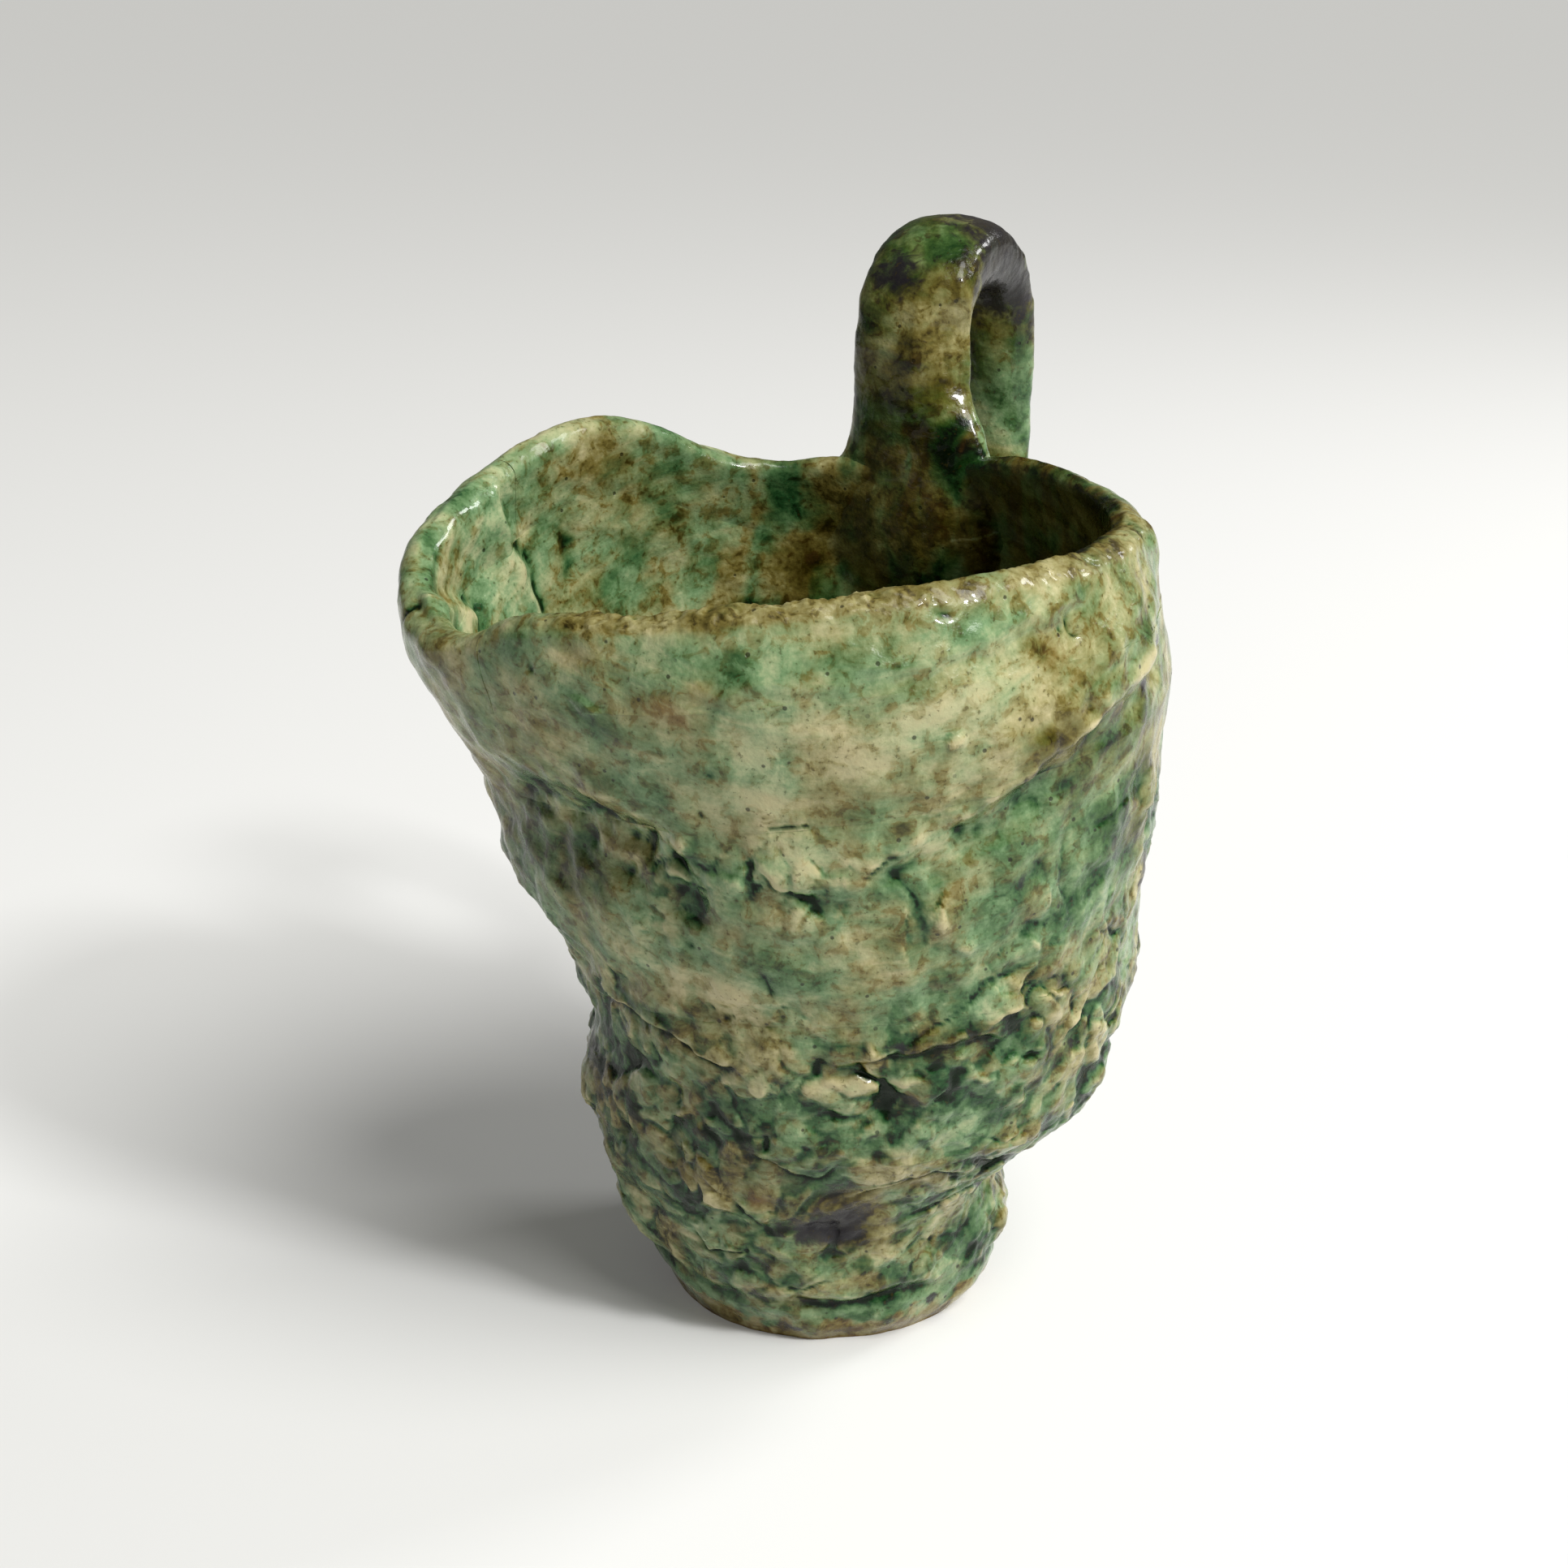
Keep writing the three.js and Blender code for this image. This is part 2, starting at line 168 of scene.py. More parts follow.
class Grain:
    """Seeded noise at points in space, the same for every piece, so that it runs on across the seams."""

    WAYS = 256
    DRAWS = 4096
    FLAKE_RADIUS = 0.68
    FLAKE_EDGE = 4.5
    FLAKE_TILT = 1.2

    def __init__(self, seed: int) -> None:
        """Draw the random directions and shares.

        Args:
            seed: Seed of the draws.
        """
        rng = np.random.default_rng(seed)
        ways = rng.normal(size=(self.WAYS, 3))
        self.ways = ways / np.linalg.norm(ways, axis=1, keepdims=True)
        self.shares = rng.random((self.DRAWS, 7))

    @staticmethod
    def code(cell: np.ndarray, salt: int) -> np.ndarray:
        """A whole number that looks random for each cell of a grid.

        Args:
            cell: Whole-number cell places, one row each.
            salt: Number that tells one layer of noise from another.

        Returns:
            One number per row.
        """
        mask = 0x7FFFFFFF
        mixed = cell[:, 0] * 73856093 ^ cell[:, 1] * 19349663 ^ cell[:, 2] * 83492791 ^ salt * 7919
        mixed = mixed & mask
        mixed = ((mixed ^ (mixed >> 15)) * 0x2C1B3C6D) & mask
        mixed = ((mixed ^ (mixed >> 12)) * 0x297A2D39) & mask
        return mixed ^ (mixed >> 15)

    def soft(self, at: np.ndarray, size: float, salt: int) -> np.ndarray:
        """Smooth humps and hollows.

        Args:
            at: Points in millimetres.
            size: Width of a hump in millimetres.
            salt: Which layer of noise.

        Returns:
            A value from about -1 to 1 for each point.
        """
        place = at / size
        cell = np.floor(place).astype(np.int64)
        part = place - cell
        fade = part**3 * (part * (part * 6.0 - 15.0) + 10.0)
        total = np.zeros(len(place))
        for corner in itertools.product((0, 1), repeat=3):
            way = self.ways[self.code(cell + corner, salt) % self.WAYS]
            lean = np.einsum("ij,ij->i", way, part - corner)
            total += lean * np.prod(np.where(corner, fade, 1.0 - fade), axis=1)
        return total * 1.7

    def rough(self, at: np.ndarray, size: float, salt: int, layers: int = 3) -> np.ndarray:
        """Humps with smaller humps on them.

        Args:
            at: Points in millimetres.
            size: Width of the largest humps in millimetres.
            salt: Which layer of noise.
            layers: How many sizes of hump.

        Returns:
            A value from about -1 to 1 for each point.
        """
        total = np.zeros(len(at))
        for layer in range(layers):
            total += self.soft(at, size * 0.5**layer, salt + 17 * layer) * 0.55**layer
        return total

    def warped(self, at: np.ndarray, size: float, reach: float, salt: int) -> np.ndarray:
        """Points pushed about by noise, so that what is read there has no straight edges.

        Args:
            at: Points in millimetres.
            size: Width of the pushes in millimetres.
            reach: How far a point is pushed, in millimetres.
            salt: Which layer of noise.

        Returns:
            The pushed points.
        """
        pushes = [self.soft(at, size, salt + axis) for axis in range(3)]
        return at + reach * np.stack(pushes, axis=1)

    def dabs(self, at: np.ndarray, size: float, salt: int) -> np.ndarray:
        """Grains of clay pressed against one another.

        Args:
            at: Points in millimetres.
            size: Spacing of the grains in millimetres.
            salt: Which layer of grains.

        Returns:
            The height of the grains, from about -0.5 to 0.5.
        """
        place = at / size
        cell = np.floor(place).astype(np.int64)
        best = np.full(len(at), -9.0)
        for step in itertools.product((-1, 0, 1), repeat=3):
            near = cell + step
            share = self.shares[self.code(near, salt) % self.DRAWS]
            away = place - near - share[:, :3]
            best = np.maximum(best, 0.6 * share[:, 3] - 0.75 * np.sum(away**2, axis=1))
        return best - 0.25

    def flakes(self, at: np.ndarray, size: float, salt: int) -> tuple[np.ndarray, np.ndarray]:
        """Overlapping flakes of clay, each a tilted plate with a firm edge.

        Args:
            at: Points in millimetres.
            size: Spacing of the flakes in millimetres.
            salt: Which layer of flakes.

        Returns:
            The height of the flakes, 0 between them and about 1 on the proudest, and a number from 0 to 1
            that is each flake's own, 0.5 between them.
        """
        place = at / size
        cell = np.floor(place).astype(np.int64)
        best = np.zeros(len(at))
        own = np.full(len(at), 0.5)
        for step in itertools.product((-1, 0, 1), repeat=3):
            near = cell + step
            share = self.shares[self.code(near, salt) % self.DRAWS]
            away = place - near - share[:, :3]
            tilt = share[:, 4:7] - 0.5
            slope = np.sum(tilt * away, axis=1)
            far = np.sqrt(np.sum(away**2, axis=1) + 4.0 * slope**2)
            rise = 0.2 + 0.8 * share[:, 3] + self.FLAKE_TILT * slope
            rise -= 0.4 * far**2 + self.FLAKE_EDGE * np.clip(far - self.FLAKE_RADIUS, 0.0, None)
            proud = rise > best
            best = np.where(proud, rise, best)
            own = np.where(proud, share[:, 4], own)
        return best, own


class Skin:
    """The points of one piece, with the relief, the stains and the painted shade that they take on."""

    # How far two neighbours may differ in depth for the glaze to run between them
    SAME_FACE = 0.08

    # How many edges the glaze runs along, the hollows in millimetres where it starts to gather and where it
    # is thickest, and how much gathers
    POOLING = ((5, 0.05, 0.3, 0.55), (45, 0.2, 1.2, 0.75))

    # Least and most of a tone
    TONE_RANGE = (-1.0, 2.0)

    def __init__(self, at: np.ndarray, depth: np.ndarray) -> None:
        """Find each point's place on the wall.

        Args:
            at: Points in millimetres.
            depth: 0 on the outer face of the wall, 1 on the inner face, and between them in between.
        """
        self.at = at
        self.depth = depth
        self.height = at[:, 2]
        self.reach = np.hypot(at[:, 0], at[:, 1])
        self.angle = np.degrees(np.arctan2(at[:, 1], at[:, 0])) % 360.0
        self.rise = np.zeros(len(at))
        self.ragged = np.zeros((len(at), 2))
        self.tones = {tone: np.zeros(len(at)) for tone in Tone}

    def offset(self, angle: float, height: float) -> tuple[np.ndarray, np.ndarray]:
        """How far each point is from a place, round the wall and up it, in millimetres.

        Args:
            angle: Angle of the place.
            height: Height of the place.

        Returns:
            Lengths to the right as seen from outside, and upward.
        """
        radius = girth(height)
        turn = (self.angle - angle + 180.0) % 360.0 - 180.0
        return np.radians(turn) * radius + self.ragged[:, 0], self.height - height + self.ragged[:, 1]

    def face(self, side: Side) -> np.ndarray:
        """How much each point belongs to one face of the wall."""
        inner = ease(0.3, 0.7, self.depth)
        return inner if side is Side.INSIDE else 1.0 - inner

    def tint(self, tone: Tone, share: np.ndarray) -> None:
        """Add to one tone of the glaze."""
        self.tones[tone] += share

    def pool(self, pairs: np.ndarray) -> None:
        """Let the glaze gather in the hollows and run thin over the edges, but not across a seam.

        Args:
            pairs: The two vertices of each edge.
        """
        level = np.abs(self.depth[pairs[:, 0]] - self.depth[pairs[:, 1]]) < self.SAME_FACE
        for rounds, low, high, strength in self.POOLING:
            hollow = averaged(self.rise, pairs[level], rounds) - self.rise
            self.tint(Tone.POOL, strength * ease(low, high, hollow))
            self.tint(Tone.CREAM, strength * ease(low, high, -hollow))

    def write(self, mesh: bpy.types.Mesh) -> None:
        """Keep the tones as attributes of the piece's vertices."""
        for tone, values in self.tones.items():
            write_attribute(mesh, tone.value, np.clip(values, *self.TONE_RANGE))


@dataclass(frozen=True)
class Spot:
    """An oval place on the wall.

    Attributes:
        angle: Angle of its middle.
        height: Height of its middle.
        wide: Half its width along its own length, in millimetres.
        tall: Half its height across, in millimetres.
        turn: How far its length climbs to the right, in degrees.
        side: The face of the wall that it is on.
    """

    angle: float
    height: float
    wide: float
    tall: float
    turn: float = 0.0
    side: Side = Side.OUTSIDE

    def share(self, skin: Skin, firm: float = 1.0) -> np.ndarray:
        """How much each point belongs to the spot.

        Args:
            skin: The points.
            firm: 1 for a soft edge, more for a firm one.

        Returns:
            A share from 0 to 1 for each point.
        """
        right, up = skin.offset(self.angle, self.height)
        cos, sin = math.cos(math.radians(self.turn)), math.sin(math.radians(self.turn))
        far = ((right * cos + up * sin) / self.wide) ** 2 + ((up * cos - right * sin) / self.tall) ** 2
        return np.exp(-(far**firm)) * skin.face(self.side)


@dataclass(frozen=True)
class Dent:
    """A hollow or, with a rise above 0, a lump.

    Attributes:
        spot: Where it is.
        rise: How far its middle stands out, in millimetres.
        pool: How much dark glaze gathers in it.
        firm: 1 for a soft edge, more for a firm one.
    """

    spot: Spot
    rise: float
    pool: float = 0.0
    firm: float = 1.0

    def press(self, skin: Skin) -> None:
        """Move the clay and pool the glaze."""
        share = self.spot.share(skin, self.firm)
        skin.rise += share * self.rise
        skin.tint(Tone.POOL, share * self.pool)


@dataclass(frozen=True)
class StainAndShade:
    """A wash of one tone: mostly a stain in the glaze, in a few places painted shade.

    Attributes:
        tone: What shows there.
        spot: Where it is.
        strength: How strong it is; below 0 it wipes the tone away.
    """

    tone: Tone
    spot: Spot
    strength: float = 1.0

    def press(self, skin: Skin) -> None:
        """Add the wash to the glaze."""
        skin.tint(self.tone, self.spot.share(skin) * self.strength)


@dataclass(frozen=True)
class Groove:
    """A crack, slit or overlapping edge along a line on the outside, drawn from left to right.

    Attributes:
        line: The places that it passes.
        width: Half its width in millimetres.
        depth: How deep it is in millimetres.
        overlap: How far the clay above it stands over the clay below, in millimetres.
        reach: How far up the overlapping clay swells, in millimetres.
        pool: How much dark glaze gathers in it.
        soft: Half the width of the step from the clay below to the overlapping clay, in millimetres.
        scoop: How far the clay below is hollowed out, in millimetres.
        side: The face of the wall that it is on.
    """

    line: tuple[Place, ...]
    width: float
    depth: float
    overlap: float = 0.0
    reach: float = 7.0
    pool: float = 1.0
    soft: float = 0.5
    scoop: float = 0.0
    side: Side = Side.OUTSIDE

    def press(self, skin: Skin) -> None:
        """Cut the groove, raise the clay above it, pool the glaze in it and paint shade in the hollow below
        it.
        """
        start, radius = self.line[0], girth(self.line[0][1])
        right, up = skin.offset(*start)
        corners = []
        for angle, height in self.line:
            corners.append((math.radians(angle - start[0]) * radius, height - start[1]))
        near = np.full(len(right), 1e6)
        above = np.zeros(len(right))
        run = np.zeros(len(right))
        whole = sum(math.dist(a, b) for a, b in itertools.pairwise(corners))
        passed = 0.0
        for (u0, v0), (u1, v1) in itertools.pairwise(corners):
            run_u, run_v = u1 - u0, v1 - v0
            length = math.hypot(run_u, run_v)
            along = ((right - u0) * run_u + (up - v0) * run_v) / length**2
            held = np.clip(along, 0.0, 1.0)
            gap = np.hypot(right - u0 - held * run_u, up - v0 - held * run_v)
            closer = gap < near
            near = np.where(closer, gap, near)
            above = np.where(closer, ((up - v0) * run_u - (right - u0) * run_v) / length, above)
            run = np.where(closer, (passed + held * length) / whole, run)
            passed += length
        taper = ease(0.0, 0.25, run) * ease(1.0, 0.75, run)
        face = skin.face(self.side)
        cut = np.exp(-((near / self.width) ** 1.4)) * (0.25 + 0.75 * taper) * face
        skin.rise -= cut * self.depth
        skin.tint(Tone.POOL, cut * self.pool)
        step = ease(-self.soft, self.soft, above)
        swell = np.exp(-near / self.reach) * taper * face
        skin.rise += (step * self.overlap - (1.0 - step) * self.scoop) * swell
        # Painted shade in the hollow under the overlapping clay
        skin.tint(Tone.POOL, 0.05 * (1.0 - step) * self.scoop * swell)


@dataclass(frozen=True)
class Fold:
    """A soft step in the outside of the wall, where the clay above a line hangs over the clay below it.

    Attributes:
        line: The places that it passes, from left to right.
        rise: How far the clay above stands out, in millimetres.
        sink: How far the clay below is hollowed, in millimetres.
        step: Half the width of the step, in millimetres.
        above: How far up the clay that stands out reaches, in millimetres.
        below: How far down the hollow reaches, in millimetres.
        fade_in: Over how many degrees it starts at the left.
        fade_out: Over how many degrees it ends at the right.
        pool: How much the hollow is darkened, as glaze gathered there and as painted shade under the clay
            that hangs over it.
    """

    line: tuple[Place, ...]
    rise: float
    sink: float
    step: float
    above: float
    below: float
    fade_in: float = 12.0
    fade_out: float = 12.0
    pool: float = 0.0

    # Turns in degrees over which the line is averaged, so that it has no corners
    TURNS = (-6.0, -4.0, -2.0, 0.0, 2.0, 4.0, 6.0)

    def press(self, skin: Skin) -> None:
        """Raise the clay above the line, hollow the clay below it and darken the hollow with pooled glaze
        and painted shade.
        """
        angles, heights = zip(*self.line)
        level = sum(np.interp(skin.angle + turn, angles, heights) for turn in self.TURNS) / len(self.TURNS)
        up = skin.height - level + skin.ragged[:, 1]
        first, last = angles[0], angles[-1]
        ends = ease(first, first + self.fade_in, skin.angle) * ease(last, last - self.fade_out, skin.angle)
        ends = ends * skin.face(Side.OUTSIDE) * np.clip(0.75 + 0.35 * skin.ragged[:, 0], 0.25, 1.25)
        over = ease(-self.step, self.step, up)
        bulge = over * np.exp(-((np.clip(up, 0.0, None) / self.above) ** 2)) * ends
        hollow = (1.0 - over) * np.exp(-((np.clip(up, None, 0.0) / self.below) ** 2)) * ends
        skin.rise += self.rise * bulge - self.sink * hollow
        # Pooled glaze and painted shade under the overhang
        skin.tint(Tone.POOL, self.pool * hollow)


def out(angle: float, height: float, wide: float, tall: float, turn: float = 0.0) -> Spot:
    """A spot on the outside of the wall."""
    return Spot(angle, height, wide, tall, turn)


def within(angle: float, height: float, wide: float, tall: float, turn: float = 0.0) -> Spot:
    """A spot on the inside of the wall."""
    return Spot(angle, height, wide, tall, turn, Side.INSIDE)


# The smooth flute under the overhang at the left
LEFT_FLUTE = out(212, 121, 34.0, 17.0, -15)

GROOVES = (
    # Cracks at the lower edge of the shoulder
    Groove(((259, 138), (260, 139.5), (264, 139), (267, 140)), 0.6, 0.7, pool=0.5),
    Groove(((274, 128), (276, 130), (279, 133), (282, 134)), 0.6, 0.7, overlap=0.5, reach=3.0, pool=0.5),
    Groove(((255, 126), (256, 129), (257, 130)), 0.6, 0.6, pool=0.4),
    Groove(((282, 142), (285, 141), (288, 143), (291, 146), (294, 150)), 1.0, 0.5, pool=0.25),
    # The cleft at the right end of the overhang
    Groove(((240, 132), (243, 128), (245, 122)), 2.6, 1.3, pool=0.35),
    Groove(((256, 130), (262, 126), (267, 125)), 0.8, 0.6, overlap=1.0, reach=5.0, pool=0.35),
    # Slits in the belly
    Groove(((256, 106), (259, 101)), 0.8, 0.9, pool=0.4),
    Groove(((247, 93), (250, 93)), 0.8, 0.9, pool=0.5),
    Groove(((306, 95), (308, 100), (310, 103)), 0.9, 1.2, pool=0.5),
    # The lower edge of the belly
    Groove(((194, 84), (211, 86), (223, 88), (235, 85), (245, 80), (256, 77)),
           1.6, 1.0, overlap=2.4, reach=7.0, pool=0.3, soft=1.0, scoop=1.4),
    Groove(((268, 82), (276, 84), (288, 88), (300, 88), (311, 84)),
           1.6, 0.7, overlap=1.8, reach=7.0, pool=0.25, soft=1.2, scoop=0.8),
    Groove(((227, 80), (230, 74)), 1.2, 1.0, pool=0.5),
    # Creases between the dabs
    Groove(((267, 80), (268, 85), (271, 84)), 0.9, 1.2, pool=0.6),
    Groove(((256, 59), (256.5, 64)), 0.9, 1.2, pool=0.6),
    Groove(((245, 42), (249, 39), (253, 36)), 0.9, 1.1, overlap=1.0, reach=4.0, pool=0.6),
    Groove(((230, 32), (236, 27), (246, 28), (250, 32)), 0.9, 1.2, overlap=1.6, reach=5.0),
    Groove(((250, 57), (258, 56), (261, 54), (267, 53), (274, 56)),
           0.9, 1.2, overlap=1.8, reach=5.0, pool=0.7),
    Groove(((274, 45), (280, 48), (288, 50), (295, 52), (308, 47)),
           0.9, 1.2, overlap=1.8, reach=5.0, pool=0.7),
    # A crack beside the glossy stretch of rim, and the notch where the lip folds over
    Groove(((311, 177), (312, 174), (314, 173)), 0.9, 0.6, pool=0.4),
    Groove(((192, 164), (193, 172), (193.5, 182)), 1.4, 1.3, pool=0.3),
    # Inside the lip: the pleat that runs down into the throat, and the edge of the wad folded over it
    Groove(((165, 190), (162, 177), (160, 170), (158, 160), (155, 148)),
           3.0, 0.5, overlap=3.0, reach=9.0, pool=0.2, soft=3.4, scoop=0.8, side=Side.INSIDE),
    Groove(((193, 180), (190, 171), (183, 167), (176, 164), (172, 156)),
           2.6, 0.5, overlap=2.8, reach=8.0, pool=0.15, soft=3.0, scoop=0.6, side=Side.INSIDE),
)

FOLDS = (
    # The slab of shoulder clay folded down at the right
    Fold(((262, 124), (274, 128), (282, 133), (290, 138), (300, 144), (306, 149), (314, 155), (328, 160),
          (338, 165), (352, 168)), 2.4, 2.2, 3.8, 16.0, 11.0, fade_in=24.0, fade_out=14.0, pool=0.12),
    # The overhang at the left
    Fold(((190, 146), (204, 141), (214, 140), (224, 139), (234, 136), (243, 131), (252, 124)),
         2.2, 3.6, 5.5, 14.0, 20.0, fade_in=24.0, fade_out=9.0, pool=0.15),
    # The crease under the rolled rim
    Fold(((246, 166), (262, 168), (277, 171), (286, 173), (296, 175), (306, 177), (322, 181)),
         1.0, 0.5, 2.2, 7.0, 6.0),
)

DENTS = (
    # Holes and hollows in the clay
    Dent(out(266, 124, 3.6, 2.0, -35), -1.6, 0.6),
    Dent(out(311, 81, 2.0, 1.2), -1.8, 0.6),
    Dent(out(286, 80, 1.6, 1.2), -1.2, 0.5),
    Dent(out(282, 73, 5.0, 5.0), -1.4, 0.2),
    Dent(out(244, 22, 3.2, 2.2), -1.4, 0.5),
    Dent(out(255, 44, 2.4, 2.0), -1.0, 0.3),
    Dent(out(232, 68, 1.6, 2.4), -1.2, 0.4),
    Dent(out(213, 52, 2.6, 2.6), -1.2, 0.3),
    # Lumps of clay stuck on
    Dent(out(225, 65, 6.0, 6.0), 1.2),
    Dent(out(232, 162, 2.8, 1.5, -20), 0.9, 0.0, 2.0),
    Dent(out(288, 158, 2.0, 1.7), 1.1, 0.0, 2.0),
    Dent(out(293, 112, 2.6, 1.8), 1.2),
    # Large pinholes
    Dent(out(287, 183, 1.3, 1.0), -0.7, 0.5),
    Dent(out(309, 176, 0.9, 0.9), -0.5, 0.5),
    Dent(out(249, 141, 0.9, 0.9), -0.5, 0.5),
    Dent(out(251, 150, 0.9, 0.9), -0.5, 0.5),
    Dent(out(222, 168, 1.0, 1.0), -0.5, 0.5),
    Dent(out(243, 110, 1.2, 1.2), -0.7, 0.5),
    # The wad of clay rolled over beside the lip, and the knob at the right of the rim
    Dent(out(203, 165, 9.0, 4.5, -8), 1.8),
    Dent(out(356, 180, 4.0, 5.0), 2.0),
    # Inside: thumb marks beside the handle, and the hollow and the swell beside the pleat
    Dent(within(87, 161, 6.0, 5.0), -1.2, 0.3),
    Dent(within(76, 163, 5.0, 4.0), -1.0, 0.3),
    Dent(within(147, 166, 3.6, 11.0, 6), -1.3, 0.1),
    Dent(within(162, 177, 5.0, 10.0), 1.0),
)

STAINS_AND_SHADE = (
    # The dark brown patch above the foot
    StainAndShade(Tone.SLATE, out(273, 38, 8.0, 7.0), 1.1),
    StainAndShade(Tone.SLATE, out(265, 34, 6.0, 4.0), 0.8),
    StainAndShade(Tone.OLIVE, out(274, 38, 11.0, 9.0), 1.0),
    StainAndShade(Tone.IRON, out(274, 40, 12.0, 9.0), 0.8),
    StainAndShade(Tone.COPPER, out(274, 40, 12.0, 9.0), -0.7),
    # Spots of manganese
    StainAndShade(Tone.SLATE, out(304, 124, 1.6, 3.0, -20), 1.0),
    StainAndShade(Tone.SLATE, out(282, 88, 4.0, 1.2), 1.0),
    StainAndShade(Tone.SLATE, out(279, 64.5, 3.0, 1.4), 0.8),
    StainAndShade(Tone.SLATE, out(323, 79, 1.6, 6.0), 0.8),
    StainAndShade(Tone.SLATE, out(334, 162, 3.0, 8.0, -30), 1.2),
    StainAndShade(Tone.SLATE, out(343, 110, 4.0, 9.0), 0.9),
    StainAndShade(Tone.SLATE, out(320, 38, 3.0, 3.0), 0.9),
    StainAndShade(Tone.SLATE, out(335, 28, 4.0, 4.0), 0.8),
    StainAndShade(Tone.SLATE, out(309, 8, 2.5, 2.0), 1.0),
    StainAndShade(Tone.SLATE, out(257, 3, 3.0, 2.0), 1.0),
    # Manganese along the folds and in the groove round the foot
    StainAndShade(Tone.SLATE, out(302, 148, 9.0, 2.0, 25), 0.7),
    StainAndShade(Tone.SLATE, out(284, 141, 6.0, 2.0, 5), 0.4),
    StainAndShade(Tone.SLATE, out(234, 124, 9.0, 3.0, -35), 0.5),
    StainAndShade(Tone.SLATE, out(270, 13, 34.0, 1.6), 0.5),
    # Painted shade: the left flank under the overhang, the shoulder at the left and low on the left
    StainAndShade(Tone.OLIVE, out(212, 122, 26.0, 13.0, -15), 0.45),
    StainAndShade(Tone.OLIVE, out(220, 152, 24.0, 14.0), 0.5),
    StainAndShade(Tone.OLIVE, out(222, 62, 26.0, 26.0), 0.35),
    # Thick dark glaze at the right fold and along the belly's lower edge
    StainAndShade(Tone.OLIVE, out(305, 154, 8.0, 7.0), 0.6),
    StainAndShade(Tone.OLIVE, out(296, 90, 17.0, 4.0, 5), 0.6),
    # Painted shade on the right flank
    StainAndShade(Tone.OLIVE, out(328, 135, 36.0, 46.0), 0.5),
    # Iron
    StainAndShade(Tone.IRON, out(252, 45, 4.0, 3.5), 1.2),
    StainAndShade(Tone.IRON, out(283, 57, 9.0, 4.0), 0.7),
    StainAndShade(Tone.IRON, out(246, 163, 8.0, 4.0), 1.0),
    StainAndShade(Tone.IRON, out(252, 168, 8.0, 3.0), 0.5),
    StainAndShade(Tone.IRON, out(231, 172, 5.0, 3.0), 0.6),
    StainAndShade(Tone.IRON, out(205, 163, 9.0, 5.0), 0.5),
    StainAndShade(Tone.IRON, out(285, 170, 7.0, 3.0), 0.4),
    StainAndShade(Tone.IRON, out(308, 172, 8.0, 5.0), 0.8),
    StainAndShade(Tone.IRON, out(308, 155, 9.0, 6.0), 0.6),
    StainAndShade(Tone.IRON, out(295, 89, 16.0, 4.0), 0.5),
    StainAndShade(Tone.IRON, out(280, 105, 5.0, 3.0), 0.4),
    # Pale slip
    StainAndShade(Tone.CREAM, out(283, 60, 8.0, 4.0), 0.6),
    StainAndShade(Tone.CREAM, out(291, 166, 15.0, 6.0, 4), 0.8),
    StainAndShade(Tone.CREAM, out(268, 156, 26.0, 12.0), 0.3),
    StainAndShade(Tone.CREAM, out(262, 144, 12.0, 5.0), 0.6),
    StainAndShade(Tone.CREAM, out(240, 100, 24.0, 7.0, -25), 0.8),
    StainAndShade(Tone.CREAM, out(270, 133, 9.0, 3.0, -20), 0.6),
    StainAndShade(Tone.CREAM, out(328, 163, 12.0, 3.0, 25), 0.7),
    # Copper
    StainAndShade(Tone.COPPER, out(255, 152, 18.0, 4.0), 0.5),
    StainAndShade(Tone.COPPER, out(258, 174, 24.0, 4.0), 0.6),
    StainAndShade(Tone.COPPER, out(296, 179, 12.0, 3.5, 4), 0.8),
    StainAndShade(Tone.COPPER, out(226, 162, 16.0, 7.0), 0.5),
    StainAndShade(Tone.COPPER, out(320, 135, 16.0, 26.0), 0.5),
    StainAndShade(Tone.COPPER, out(298, 119, 7.0, 5.0), 0.9),
    StainAndShade(Tone.COPPER, out(320, 112, 9.0, 7.0), 0.6),
    StainAndShade(Tone.COPPER, out(320, 30, 10.0, 8.0), 0.8),
)


